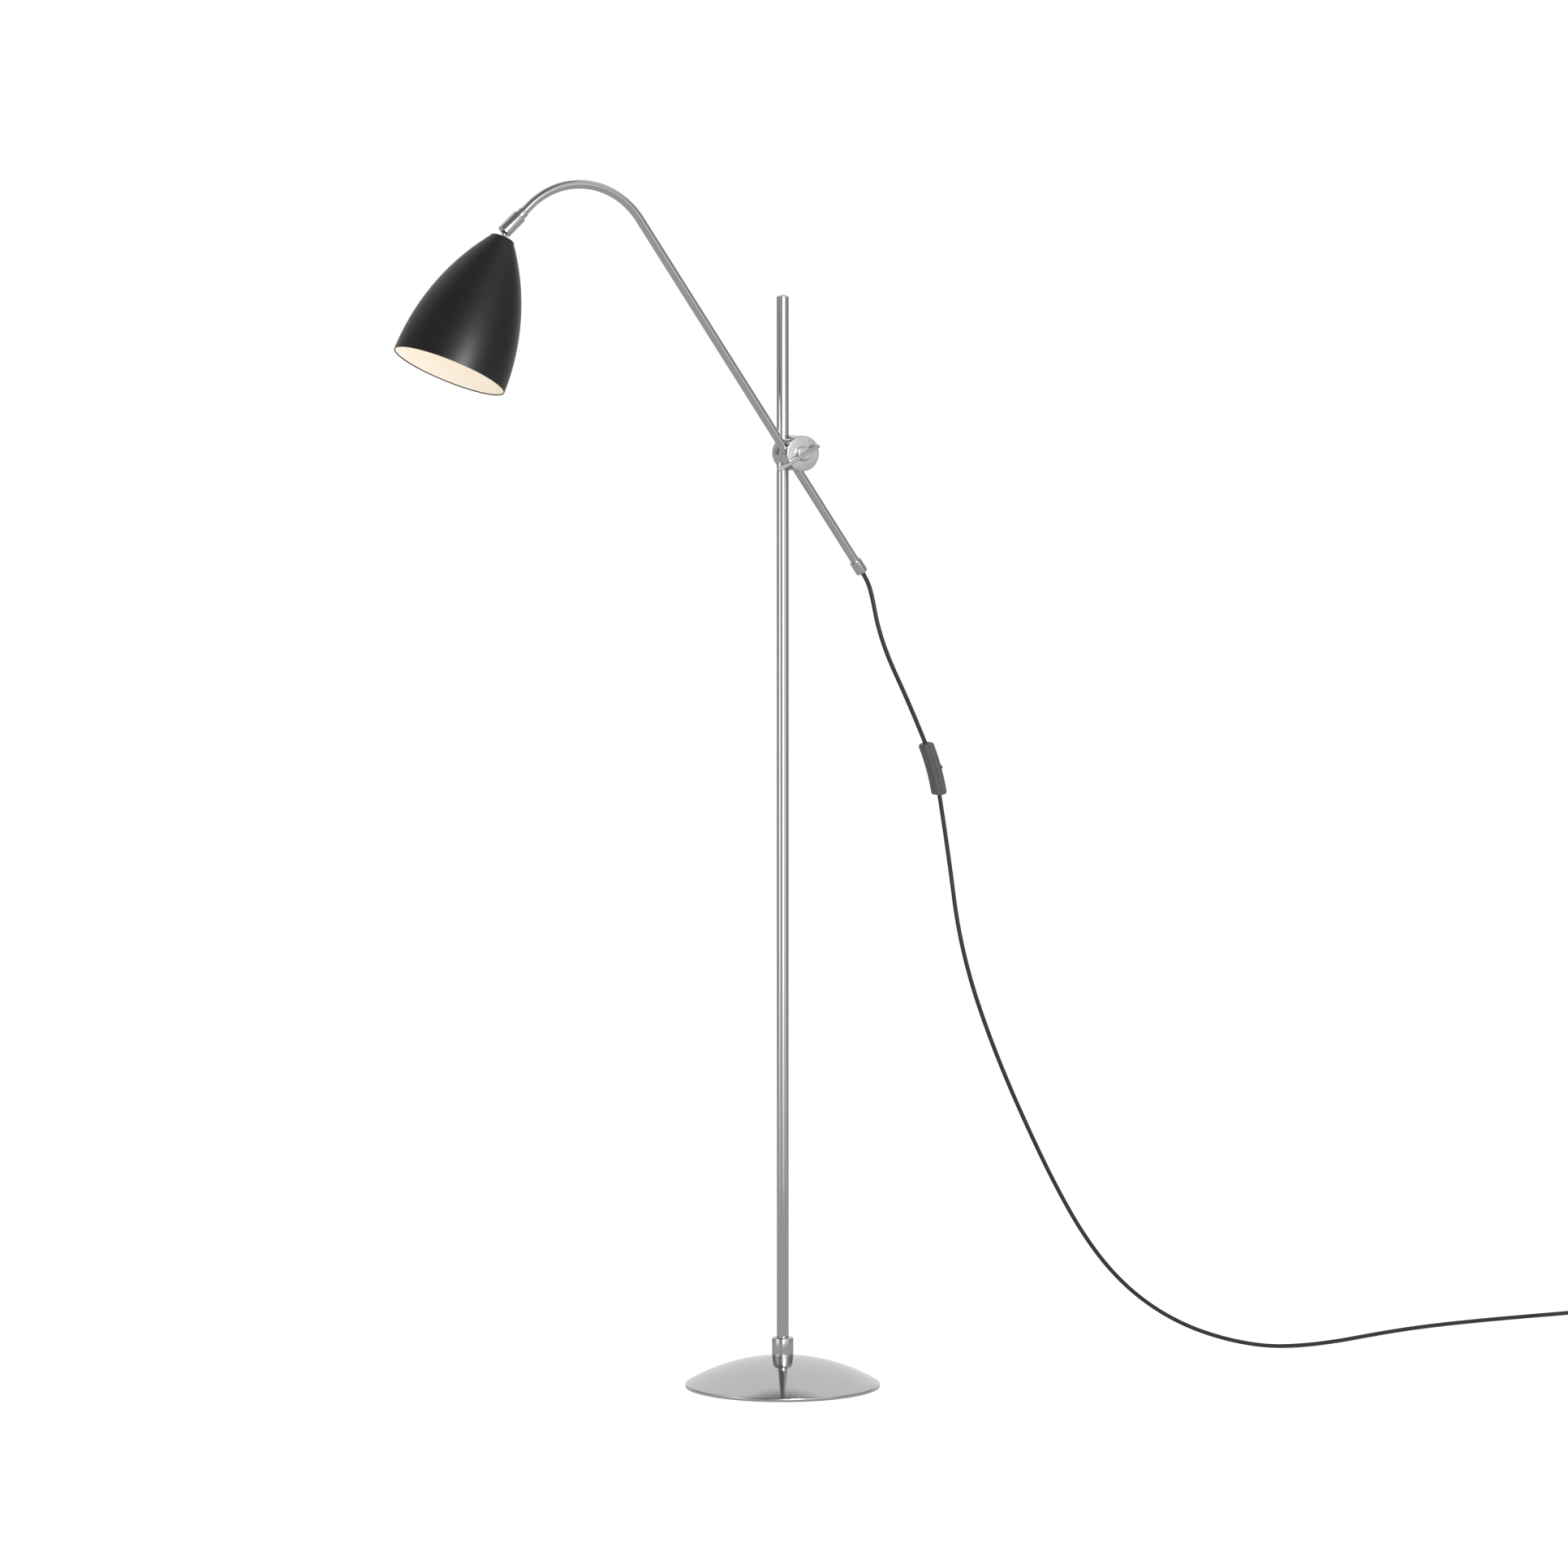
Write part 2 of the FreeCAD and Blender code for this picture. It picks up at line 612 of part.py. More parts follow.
def seat_springs():
    """Coned spring washers stacked between the end wall and the seat, facing each other in turn."""
    start = SOCKET_AT + SOCKET_TOP + RETAINER_T + 4 * RUN + 0.6
    each = (seat_top() - start) / DISC_SPRINGS
    thick, outer, inner = 0.5, BALL_R - 0.3, ARM_R - 0.8
    washers = []
    for number in range(DISC_SPRINGS):
        low = start + number * each
        high = low + each - thick
        a, b = (low, high) if number % 2 else (high, low)
        outline = [(inner, a), (outer, b), (outer, b + thick), (inner, a + thick)]
        washers.append(turned(outline, NECK_FRAME))
    return Part.makeCompound(washers)


def ball_stud():
    """Hollow ball and stem with the shoulder that the shade hangs on."""
    ball = Part.makeSphere(BALL_R)
    end = SHADE_TOP + SHADE_WALL + HOLDER_CAP_T
    stem = cylinder(STEM_R, 0, end)
    shoulder = cylinder(SHOULDER_R, SHADE_TOP - SHOULDER_T, SHADE_TOP)
    body = ball.fuse(stem).fuse(shoulder).removeSplitter()
    return moved(body.cut(cylinder(STEM_R - 1.0, -BALL_R - 1, end + 1)), HEAD_FRAME)


def stud_leads():
    """The two insulated cores, where they pass through the stem."""
    end = SHADE_TOP + SHADE_WALL + HOLDER_CAP_T
    return cylinder(STEM_R - 1.1, -BALL_R + 1, end, HEAD_FRAME)


# ---------------------------------------------------------------- shade, lampholder and bulb
def shade_radius(z):
    """Outer radius of the shade at z along its axis."""
    rest = SHADE_TOP + SHADE_L - z
    return SHADE_R - SHADE_PROFILE + math.sqrt(SHADE_PROFILE ** 2 - rest ** 2)


def shade():
    """Spun shade: a curved side, a small flat top with rounded shoulder, and an open mouth."""
    top, mouth = SHADE_TOP, SHADE_TOP + SHADE_L
    side_top = top + SHADE_SHOULDER
    middle = (side_top + mouth) / 2
    shoulder = shade_radius(side_top)
    w = SHADE_WALL
    outline = [
        (STEM_R + RUN, top), (shoulder - SHADE_TURN, top), (shoulder, side_top), (SHADE_R, mouth),
        (SHADE_R - w, mouth), (shoulder - w, side_top + 0.3), (shoulder - SHADE_TURN - w / 2, top + w),
        (STEM_R + RUN, top + w)]
    arcs = {
        1: (shoulder - 0.7, top + 1.1), 2: (shade_radius(middle), middle),
        4: (shade_radius(middle) - w, middle)}
    return turned(outline, HEAD_FRAME, arcs)


def holder_start():
    return SHADE_TOP + SHADE_WALL


def lampholder_cap():
    """Threaded on the stem; it pulls the shade up against the stud's shoulder."""
    start = holder_start()
    return cylinder(HOLDER_CAP_R, start, start + HOLDER_CAP_T, HEAD_FRAME, bore=STEM_R)


def screw_start():
    return holder_start() + HOLDER_CAP_T + HOLDER_L - SCREW_L


def lampholder():
    """Ribbed cup with a deep round mouth for the bulb's screw cap."""
    low = holder_start() + HOLDER_CAP_T
    high = low + HOLDER_L
    well = SCREW_R + GAP
    floor = screw_start() - 1
    outline = [
        (STEM_R, low), (HOLDER_R - 1.5, low), (HOLDER_R, low + 1.5), (HOLDER_R, high - 1),
        (HOLDER_R - 1, high), (well, high), (well, floor), (STEM_R, floor)]
    return turned(outline, HEAD_FRAME)


def holder_contact():
    """Sprung brass tongue that touches the bulb's foot."""
    floor = screw_start() - 1
    return cylinder(3.2, floor, floor + 0.6, HEAD_FRAME)


def bulb_cap():
    """Screw shell with a rolled thread."""
    start = screw_start()
    outline = [(0, start - 0.3), (3.0, start - 0.3), (SCREW_R - 0.5, start + 2)]
    pitch = 2.8
    low = start + 2
    for turn in range(6):
        outline += [(SCREW_R, low + pitch * (turn + 0.3)), (SCREW_R - 0.5, low + pitch * (turn + 0.8))]
    end = start + SCREW_L
    outline += [(SCREW_R - 0.5, end), (SCREW_R - 1.5, end), (SCREW_R - 1.5, start + 3), (0, start + 3)]
    return turned(outline, HEAD_FRAME)


def bulb_glass():
    """Globe bulb: a narrow neck that widens into a ball."""
    low = screw_start() + SCREW_L
    neck = SCREW_R + 2.0
    centre = low + BULB_NECK + BULB_R * 0.7
    meet = centre - math.sqrt(BULB_R ** 2 - (neck + 4) ** 2)
    w = BULB_WALL
    outline = [
        (SCREW_R - 1.5, low), (neck, low), (neck, low + 6), (neck + 4, meet), (BULB_R, centre),
        (0, centre + BULB_R), (0, centre + BULB_R - w), (BULB_R - w, centre),
        (neck + 4 - w, meet + w / 2), (neck - w, low + 6), (neck - w, low + 1), (SCREW_R - 1.5, low + 1)]
    slope = math.sqrt(0.5)
    turn = (math.asin((neck + 4) / BULB_R) + math.pi / 2) / 2
    side = (BULB_R * math.sin(turn), centre - BULB_R * math.cos(turn))
    inner = BULB_R - w
    arcs = {
        3: side, 4: (BULB_R * slope, centre + BULB_R * slope),
        6: (inner * slope, centre + inner * slope),
        7: (inner * math.sin(turn), centre - inner * math.cos(turn))}
    return turned(outline, HEAD_FRAME, arcs)


# ---------------------------------------------------------------- in-line switch
def switch_angle(share):
    """Angle round the switch's own curve: 0 at its lower end, 1 at its upper end."""
    return math.radians(SWITCH_LEAN + SWITCH_BEND * (share - 0.5))


def switch_point(share, out=0.0, side=0.0):
    """A point on the switch, out from its middle line and to the side along Y."""
    angle = switch_angle(share)
    reach = SWITCH_ARC + out
    return SWITCH_CENTRE + Vector(reach * math.cos(angle), side, reach * math.sin(angle))


def switch_along(share):
    """Direction of the switch's middle line, upwards."""
    angle = switch_angle(share)
    return Vector(-math.sin(angle), 0, math.cos(angle))


def switch_bend(low, high, wide, start, end, rounds):
    """A curved bar between two distances from the middle line, rounded on the given corners."""
    spots = [switch_point(start, low, -wide), switch_point(start, high, -wide),
             switch_point(start, high, wide), switch_point(start, low, wide)]
    edges = []
    count = len(spots)
    for number in range(count):
        corner = spots[number]
        before = (spots[number - 1] - corner).normalize()
        after = (spots[(number + 1) % count] - corner).normalize()
        radius = SWITCH_ROUND if number in rounds else 0.0
        edges.append((corner + before * radius, corner + after * radius, corner, before + after, radius))
    wire = []
    for number, (a, b, corner, bisector, radius) in enumerate(edges):
        if radius:
            middle = corner + bisector * (radius * (1 - math.sqrt(0.5)))
            wire.append(Part.Arc(a, middle, b).toShape())
        wire.append(Part.LineSegment(b, edges[(number + 1) % count][0]).toShape())
    face = Part.Face(Part.Wire(wire))
    angle = math.degrees(switch_angle(end) - switch_angle(start))
    return face.revolve(SWITCH_CENTRE, Vector(0, -1, 0), angle)


def switch_bore(radius, start, end):
    """A round bar along the switch's curve."""
    a, m, b = (switch_point(share) for share in (start, (start + end) / 2, end))
    return sweep([Part.Arc(a, m, b).toShape()], radius)


def switch_screw_places():
    end = SWITCH_END / 2 / SWITCH_L
    side = SWITCH_W / 2 - 3.4
    return [(end, side), (1 - end, -side)]


def radial_bar(radius, share, side, low, high):
    """A round bar that crosses the switch, square to its broad faces."""
    a, b = switch_point(share, low, side), switch_point(share, high, side)
    return Part.makeCylinder(radius, (b - a).Length, a, b - a)


def rocker_centre():
    return switch_point(0.5, SWITCH_T / 2 - ROCKER_SINK)


def switch_shell(inner):
    """One half of the housing: the inner half carries the screws, the outer half the rocker."""
    half = SWITCH_T / 2
    wide = SWITCH_W / 2
    low, high = (-half, 0) if inner else (0, half)
    rounds = (0, 3) if inner else (1, 2)
    body = switch_bend(low, high, wide, 0, 1, rounds)
    end = SWITCH_END / SWITCH_L
    cave = switch_bend(-half + SWITCH_WALL, half - SWITCH_WALL, wide - SWITCH_WALL, end, 1 - end, ())
    body = body.cut(cave)
    for start, stop in ((-0.02, end + 0.02), (1 - end - 0.02, 1.02)):
        body = body.cut(switch_bore(CORE_R, start, stop))
    for share, side in switch_screw_places():
        body = body.cut(radial_bar(SCREW_HOLE_R, share, side, -half - 1, half - SWITCH_WALL))
        body = body.cut(radial_bar(SCREW_HEAD_R, share, side, -half - 1, -half + SCREW_SINK))
    if not inner:
        centre = rocker_centre()
        room = ROCKER_W / 2 + GAP
        pin = ROCKER_W / 2 + 2
        body = body.cut(across(ROCKER_R + GAP, centre.y + room, centre.y - room, centre))
        body = body.cut(across(ROCKER_PIN_R + RUN, centre.y + pin, centre.y - pin, centre))
    return body


def switch_front_shell():
    return switch_shell(False)


def switch_back_shell():
    return switch_shell(True)


def switch_rocker():
    """Rounded rocker with grip grooves and its two pins."""
    centre = rocker_centre()
    body = across(ROCKER_R, centre.y + ROCKER_W / 2, centre.y - ROCKER_W / 2, centre)
    pin = ROCKER_W / 2 + 1.6
    body = body.fuse(across(ROCKER_PIN_R, centre.y + pin, centre.y - pin, centre))
    for step in (-2, -1, 0, 1, 2):
        angle = math.radians(SWITCH_LEAN + GROOVE_STEP * step)
        spot = centre + Vector(math.cos(angle), 0, math.sin(angle)) * (ROCKER_R + 0.15)
        body = body.cut(across(GROOVE_R, spot.y + ROCKER_W, spot.y - ROCKER_W, spot))
    return body


def switch_contacts():
    """Two brass strips on the floor of the housing."""
    strips = []
    for start, stop in ((0.2, 0.45), (0.55, 0.8)):
        low = -SWITCH_T / 2 + SWITCH_WALL
        strips.append(switch_bend(low, low + 0.8, 2.0, start, stop, ()))
    return Part.makeCompound(strips)


def switch_leads():
    """The cord's cores, where they come through the ends of the housing."""
    end = SWITCH_END / SWITCH_L
    return Part.makeCompound([switch_bore(CORE_R - 0.1, 0.0, end), switch_bore(CORE_R - 0.1, 1 - end, 1.0)])


def switch_screws():
    half = SWITCH_T / 2
    screws = []
    for share, side in switch_screw_places():
        shank = radial_bar(SCREW_HOLE_R - RUN, share, side, -half + SCREW_SINK, half - SWITCH_WALL - 0.4)
        head = radial_bar(SCREW_HEAD_R - 0.1, share, side, -half + 0.2, -half + SCREW_SINK)
        screws.append(shank.fuse(head))
    return Part.makeCompound(screws)


# ---------------------------------------------------------------- cord, coil and plug
def tuple_of(point):
    return (point.x, point.y, point.z)


def cord_exit():
    return ARM_FRAME.multVec(Vector(0, 0, -ARM_BELOW - GROMMET_LIP))


def cord_upper():
    """From the arm's lower end to the switch."""
    out = ARM_FRAME.multVec(Vector(0, 0, -ARM_BELOW - GROMMET_LIP - CORD_RUN_OUT))
    inward = switch_point(1) + switch_along(1) * SWITCH_RUN_IN
    points = [tuple_of(cord_exit()), tuple_of(out)] + CORD_UPPER
    return cord_tube("cord_upper", points + [tuple_of(inward), tuple_of(switch_point(1))])


def coil_turn(angle, layer):
    """A point on the coil's outermost turn."""
    reach = COIL_MID_R + CORD_R * (COIL_LAYERS - 1)
    angle = math.radians(angle)
    height = TIE_T + CORD_R * (1 + 2 * layer)
    return (COIL_CENTRE[0] + reach * math.cos(angle), COIL_CENTRE[1] + reach * math.sin(angle), height)


def cord_lower():
    """From the switch down to the floor and along it to the coil."""
    out = switch_point(0) - switch_along(0) * SWITCH_RUN_OUT
    points = [tuple_of(switch_point(0)), tuple_of(out)] + CORD_LOWER + [coil_turn(-90, 0)]
    return cord_tube("cord_lower", points)


def cord_coil():
    """The outer shape of the wound, unused length."""
    half = COIL_WIDTH / 2
    place = Placement(Vector(COIL_CENTRE[0], COIL_CENTRE[1], TIE_T), Rotation())
    return cylinder(COIL_MID_R + half, 0, COIL_WIDTH, place, bore=COIL_MID_R - half)


def coil_tie():
    """A strap round the bundle of turns."""
    half = COIL_WIDTH / 2
    low, high = COIL_MID_R - half, COIL_MID_R + half
    place = Placement(Vector(COIL_CENTRE[0], COIL_CENTRE[1], 0), Rotation(UP, TIE_ANGLE))
    outer = local_box((low - TIE_T, high + TIE_T + 1), (-TIE_W / 2, TIE_W / 2), (0, COIL_WIDTH + 2 * TIE_T))
    return moved(outer, place).cut(cord_coil())


def cord_tail():
    """From the coil's top turn to the plug's strain relief."""
    return cord_tube("cord_tail", [coil_turn(TAIL_ANGLE, 1)] + CORD_TAIL + [PLUG_AT])


PLUG_FRAME = Placement(Vector(*PLUG_AT), Rotation(UP, -PLUG_TURN))


def plug_relief():
    """Tapered sleeve along the plug's own +Y, with grooves that let it bend."""
    wide, narrow = RELIEF_R
    steps = 6
    outline = [(CORD_R, 0), (narrow, 0)]
    for step in range(steps):
        low = RELIEF_L * (step + 0.6) / steps
        reach = narrow + (wide - narrow) * low / RELIEF_L
        outline += [(reach, low), (reach - 0.6, low + 0.3), (reach - 0.6, low + 1.3), (reach, low + 1.6)]
    outline += [(wide, RELIEF_L), (CORD_R, RELIEF_L)]
    along = Placement(ORIGIN, Rotation(Vector(1, 0, 0), -90))
    sleeve = turned(outline)
    core = cylinder(CORD_R, 0, RELIEF_L)
    return moved(sleeve.fuse(core).removeSplitter(), PLUG_FRAME.multiply(along))


def plug_body():
    """Flat two-pin plug, narrower where the cord goes in."""
    half, neck, t = PLUG_W / 2, PLUG_NECK_W / 2, PLUG_T / 2
    y0, y1, y2 = RELIEF_L, RELIEF_L + PLUG_L * 0.55, RELIEF_L + PLUG_L
    ring = [(-neck, y0), (neck, y0), (half, y1), (half, y2), (-half, y2), (-half, y1), (-neck, y0)]
    face = Part.Face(Part.makePolygon([Vector(x, y, -t) for x, y in ring]))
    body = face.extrude(Vector(0, 0, PLUG_T))
    upright = [e for e in body.Edges if abs(e.tangentAt(e.FirstParameter).z) > 0.9]
    body = body.makeFillet(PLUG_ROUND, upright)
    level = [e for e in body.Edges if abs(abs(e.CenterOfMass.z) - t) < 1e-6]
    return moved(body.makeFillet(PLUG_EDGE, level), PLUG_FRAME)


def plug_pins():
    """Two round pins, sleeved next to the plug."""
    pins = []
    for side in (-1, 1):
        start = Vector(side * PIN_PITCH / 2, RELIEF_L + PLUG_L, 0)
        pin = Part.makeCylinder(PIN_R, PIN_L, start, BACK)
        tip = [e for e in pin.Edges if e.Closed and e.CenterOfMass.y > start.y + PIN_L / 2]
        pins.append(moved(pin.makeFillet(PIN_TIP, tip), PLUG_FRAME))
    return Part.makeCompound(pins)


NODES = [
    base_dome, base_weight, base_pad, foot_washer, foot_nut, foot_stud, pole_insert, pole, pole_cap,
    pole_collar, collar_grub_screw, pole_block, friction_washer, arm_block, pole_bush, arm_bush,
    clamp_bolt, lever_washer, clamp_lever, arm_tube, arm_end_collar, cord_grommet, arm_flex,
    neck_ferrule, neck_retainer, neck_socket, ball_seat, seat_springs, ball_stud, stud_leads, shade,
    lampholder_cap, lampholder, holder_contact, bulb_cap, bulb_glass, switch_front_shell,
    switch_back_shell, switch_rocker, switch_contacts, switch_leads, switch_screws, cord_upper,
    cord_lower, cord_coil, coil_tie, cord_tail, plug_relief, plug_body, plug_pins,
]

os.makedirs("parts", exist_ok=True)
for make in NODES:
    shape = make()
    if not shape.isValid():
        print("NOT VALID:", make.__name__)
    shape.exportStep("parts/%s.step" % make.__name__)

for name, point in (
        ("clamp", CLAMP), ("arm foot", ARM_FRAME.Base), ("arm up", ARM_FRAME.Rotation.multVec(UP)),
        ("neck end", NECK_FRAME.Base), ("neck along", NECK_FRAME.Rotation.multVec(UP)),
        ("ball", HEAD_FRAME.Base), ("shade axis", HEAD_FRAME.Rotation.multVec(UP)),
        ("tilt axis", HEAD_FRAME.Rotation.multVec(Vector(0, -1, 0))), ("rocker", rocker_centre()),
        ("cord exit", cord_exit()), ("switch top", switch_point(1)), ("switch foot", switch_point(0))):
    print("%-11s %.4f %.4f %.4f" % (name, point.x, point.y, point.z))
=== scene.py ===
# %% [markdown]
# # A pharmacy floor lamp, finished in Blender
# The lamp's sizes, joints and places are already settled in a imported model. This lesson loads it as a
# fixed frame, then makes the pieces that show: plated tubes, a spun shade, a moulded switch and a cord
# that hangs and lies. Lengths are in metres, and MM turns a drawing's millimetres into them.

# %% Load the frame
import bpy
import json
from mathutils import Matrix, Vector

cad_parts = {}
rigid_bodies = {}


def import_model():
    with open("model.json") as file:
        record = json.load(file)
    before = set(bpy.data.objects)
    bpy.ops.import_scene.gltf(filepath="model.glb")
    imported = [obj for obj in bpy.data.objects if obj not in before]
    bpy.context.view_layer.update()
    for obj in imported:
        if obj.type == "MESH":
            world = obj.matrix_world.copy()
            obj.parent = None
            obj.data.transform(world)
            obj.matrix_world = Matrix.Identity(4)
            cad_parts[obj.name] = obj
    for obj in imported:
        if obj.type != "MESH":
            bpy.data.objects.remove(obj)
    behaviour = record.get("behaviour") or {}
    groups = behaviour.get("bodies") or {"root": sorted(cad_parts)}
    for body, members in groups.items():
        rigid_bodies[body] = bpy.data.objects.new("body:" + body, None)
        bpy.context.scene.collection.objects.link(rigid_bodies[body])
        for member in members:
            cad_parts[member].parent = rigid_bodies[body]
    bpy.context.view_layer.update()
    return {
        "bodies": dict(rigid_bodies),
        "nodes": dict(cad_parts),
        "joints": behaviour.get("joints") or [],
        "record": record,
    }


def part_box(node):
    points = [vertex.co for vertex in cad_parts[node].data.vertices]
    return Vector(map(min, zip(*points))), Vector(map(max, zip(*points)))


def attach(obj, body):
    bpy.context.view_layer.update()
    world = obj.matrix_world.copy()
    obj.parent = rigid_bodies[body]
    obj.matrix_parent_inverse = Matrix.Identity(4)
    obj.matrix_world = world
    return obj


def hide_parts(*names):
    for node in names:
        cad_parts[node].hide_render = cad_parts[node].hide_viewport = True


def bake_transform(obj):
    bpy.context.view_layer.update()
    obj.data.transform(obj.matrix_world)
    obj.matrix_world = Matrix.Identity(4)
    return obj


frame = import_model()

# %% [markdown]
# ## Modules and units
# bmesh builds the meshes and mathutils does the geometry. Every joint of the frame is kept by its name,
# because most pieces take their place from one.

# %% Modules and units
import json
import math

import bmesh
import bpy
from mathutils import Matrix, Quaternion, Vector

MM = 0.001
UP = Vector((0, 0, 1))
JOINTS = {joint["name"]: joint for joint in frame["joints"]}


# %% [markdown]
# ## Local frames
# Most pieces are round about some axis of their own. The joints of the frame say where those axes are,
# so a small function turns "a point and a direction" into a matrix, and each piece is drawn upright and
# then set in its place.

# %% A place from a point and an axis
def place(at, along=UP, facing=Vector((0, 1, 0))):
    """Local +Z points along; local +Y is as near to facing as it can be."""
    z = Vector(along).normalized()
    y = (Vector(facing) - z * z.dot(facing)).normalized()
    x = y.cross(z)
    turn = Matrix((x, y, z)).transposed().to_4x4()
    return Matrix.Translation(Vector(at)) @ turn


def joint_axis(name):
    return Vector(JOINTS[name]["axis"]).normalized()


def joint_point(name):
    return Vector(JOINTS[name]["pos_m"])


CLAMP_AXIS_AT = joint_point("arm_tilt")
ARM_FOOT = joint_point("arm_turn")
ARM_UP = joint_axis("arm_turn")
BALL_AT = joint_point("shade_tilt")
NECK_ALONG = joint_axis("neck_turn")
TILT_AXIS = joint_axis("shade_tilt")
REST_TILT = math.radians(22.2)
SHADE_ALONG = Quaternion(TILT_AXIS, REST_TILT) @ NECK_ALONG
ARM_PLACE = place(ARM_FOOT, ARM_UP)
NECK_PLACE = place(BALL_AT, NECK_ALONG, -TILT_AXIS)
HEAD_PLACE = place(BALL_AT, SHADE_ALONG, -TILT_AXIS)
print("shade axis", [round(v, 4) for v in SHADE_ALONG])


# %% [markdown]
# ## Shader maths as Python
# A wrapped socket makes node maths readable: adding two wires adds a Math node. Every other node comes
# from one method, which is given the node's type, its settings and what goes into its sockets.

# %% Wires and finishes
class Wire:
    """An output socket that understands arithmetic."""

    def __init__(self, finish, socket):
        self.finish, self.socket = finish, socket

    def maths(self, operation, *others, first=None):
        values = [self if first is None else first, *others]
        return self.finish.node("Math", {"operation": operation}, dict(enumerate(values)))

    def __add__(self, other):
        return self.maths("ADD", other)

    def __mul__(self, other):
        return self.maths("MULTIPLY", other)

    def __sub__(self, other):
        return self.maths("SUBTRACT", other)

    def __rsub__(self, other):
        return self.maths("SUBTRACT", self, first=other)

    def __pow__(self, other):
        return self.maths("POWER", other)

    __radd__ = __add__
    __rmul__ = __mul__

    def above(self, level):
        return self.maths("GREATER_THAN", level)


class Nodes:
    """A tree of shader nodes, and the one way in which a node is added to it."""

    def feed(self, socket, value):
        if isinstance(value, Wire):
            self.tree.links.new(value.socket, socket)
        elif hasattr(value, "__len__") and len(value) == 3 and socket.type == "RGBA":
            socket.default_value = (*value, 1.0)
        else:
            socket.default_value = value

    def node(self, kind, settings=None, sockets=None, output=0):
        """Settings first, then sockets by name or number. A ramp's stops are (place, colour) pairs."""
        made = self.tree.nodes.new("ShaderNode" + kind)
        for key, value in (settings or {}).items():
            if key == "stops":
                ramp = made.color_ramp.elements
                while len(ramp) < len(value):
                    ramp.new(0.5)
                for stop, (where, colour) in zip(ramp, value):
                    stop.position, stop.color = where, (*colour, 1.0)
            else:
                setattr(made, key, value)
        for key, value in (sockets or {}).items():
            self.feed(made.inputs[key], value)
        return None if output is None else Wire(self, made.outputs[output])

    def mix(self, share, low, high):
        """A colour between two, as share goes from 0 to 1."""
        return self.node("Mix", {"data_type": "RGBA"}, {0: share, 6: low, 7: high}, output=2)


class Finish(Nodes):
    """A material made of nodes, built from its surface shader outwards."""

    def __init__(self, name, **surface):
        self.material = bpy.data.materials.new(name)
        self.material.use_nodes = True
        self.tree = self.material.node_tree
        self.shader = self.tree.nodes["Principled BSDF"]
        self.set(**surface)

    def set(self, **surface):
        """Base_Color=(r, g, b) sets a plain value; a Wire is linked."""
        for key, value in surface.items():
            self.feed(self.shader.inputs[key.replace("_", " ")], value)

    def where(self):
        """The piece's own coordinates, in metres, which are the frame's."""
        return self.node("TexCoord", output="Object")

    def noise(self, size, detail=2.0, rough=0.5, at=None):
        """Noise whose grains are about size metres across."""
        return self.node("TexNoise", None, {
            "Vector": at or self.where(), "Scale": 1.0 / size, "Detail": detail, "Roughness": rough})

    def stretched(self, scale):
        """Coordinates stretched by three factors, for grain that runs one way."""
        return self.node("Mapping", None, {"Vector": self.where(), "Scale": scale})

    def bump(self, height, depth, strength=1.0):
        """Raise the surface by height times depth metres."""
        wire = self.node("Bump", None, {"Height": height, "Distance": depth, "Strength": strength})
        self.set(Normal=wire)


# %% [markdown]
# ## Finishes
# Chrome plate is nearly a mirror, but handled chrome is never even: faint smears change its gloss and
# a very shallow waviness breaks long reflections. Chromium itself reflects a little over half the light.

# %% Chrome plate
def chrome_plate(name, tone, gloss=0.05, smear=0.04, wave=0.0000015):
    finish = Finish(name, Metallic=1.0, IOR=2.0)
    smears = finish.noise(0.045, 4.0, 0.62)
    specks = finish.noise(0.0016, 2.0)
    finish.set(Roughness=smears ** 3 * smear * 4 + gloss + specks.above(0.72) * 0.04)
    warm = [min(1.0, value * 1.02) for value in tone]
    finish.set(Base_Color=finish.mix(smears, tone, warm))
    finish.bump(finish.noise(0.03, 0.0), wave)
    return finish.material


CHROME = chrome_plate("chrome_plate", (0.55, 0.553, 0.56))
CHROME_WORN = chrome_plate("chrome_cast_plate", (0.54, 0.545, 0.55), 0.09, 0.07, 0.000004)


# %% [markdown]
# ## Paint
# The shade's outside is a satin black stoved paint: its gloss comes from a slightly rough coat, and its
# faint orange peel is only microns deep. Inside it is a warm white with a painted glow: it gives off
# a little light of its own, which stands in for the bulb's light falling on it.

# %% Satin black and white with a painted glow
def satin_black():
    finish = Finish("satin_black_paint", Metallic=0.0, IOR=1.5, Specular_IOR_Level=0.3,
                    Coat_IOR=1.5, Coat_Roughness=0.3)
    peel = finish.noise(0.0022, 2.0, 0.5)
    cloud = finish.noise(0.06, 3.0, 0.55)
    finish.set(Base_Color=finish.mix(cloud, (0.006, 0.006, 0.0063), (0.0085, 0.0085, 0.009)))
    finish.set(Roughness=cloud * 0.10 + 0.36, Coat_Weight=cloud * 0.06 + 0.04)
    finish.bump(peel, 0.000012)
    return finish.material


def white_with_painted_glow():
    # The enamel's emission is a painted glow: the inside shines by itself in place of the bulb's light on it.
    finish = Finish("white_enamel_painted_glow", Metallic=0.0, IOR=1.5, Emission_Strength=0.14)
    peel = finish.noise(0.0026, 2.0, 0.5)
    cloud = finish.noise(0.05, 2.0, 0.5)
    finish.set(Base_Color=finish.mix(cloud, (0.80, 0.73, 0.64), (0.84, 0.78, 0.69)))
    finish.set(Emission_Color=finish.mix(cloud, (1.0, 0.905, 0.80), (1.0, 0.945, 0.86)))
    finish.set(Roughness=peel * 0.12 + 0.42)
    finish.bump(peel, 0.00001)
    return finish.material


PAINT = satin_black()
GLOW_PAINTED_ENAMEL = white_with_painted_glow()


# %% [markdown]
# ## Plastics, rubber and the rest
# Moulded plastic has a fine spark-eroded grain, a cord's sheath is smoother with faint drawing lines,
# and the plain metals inside are duller than the plate outside. One function covers each family.

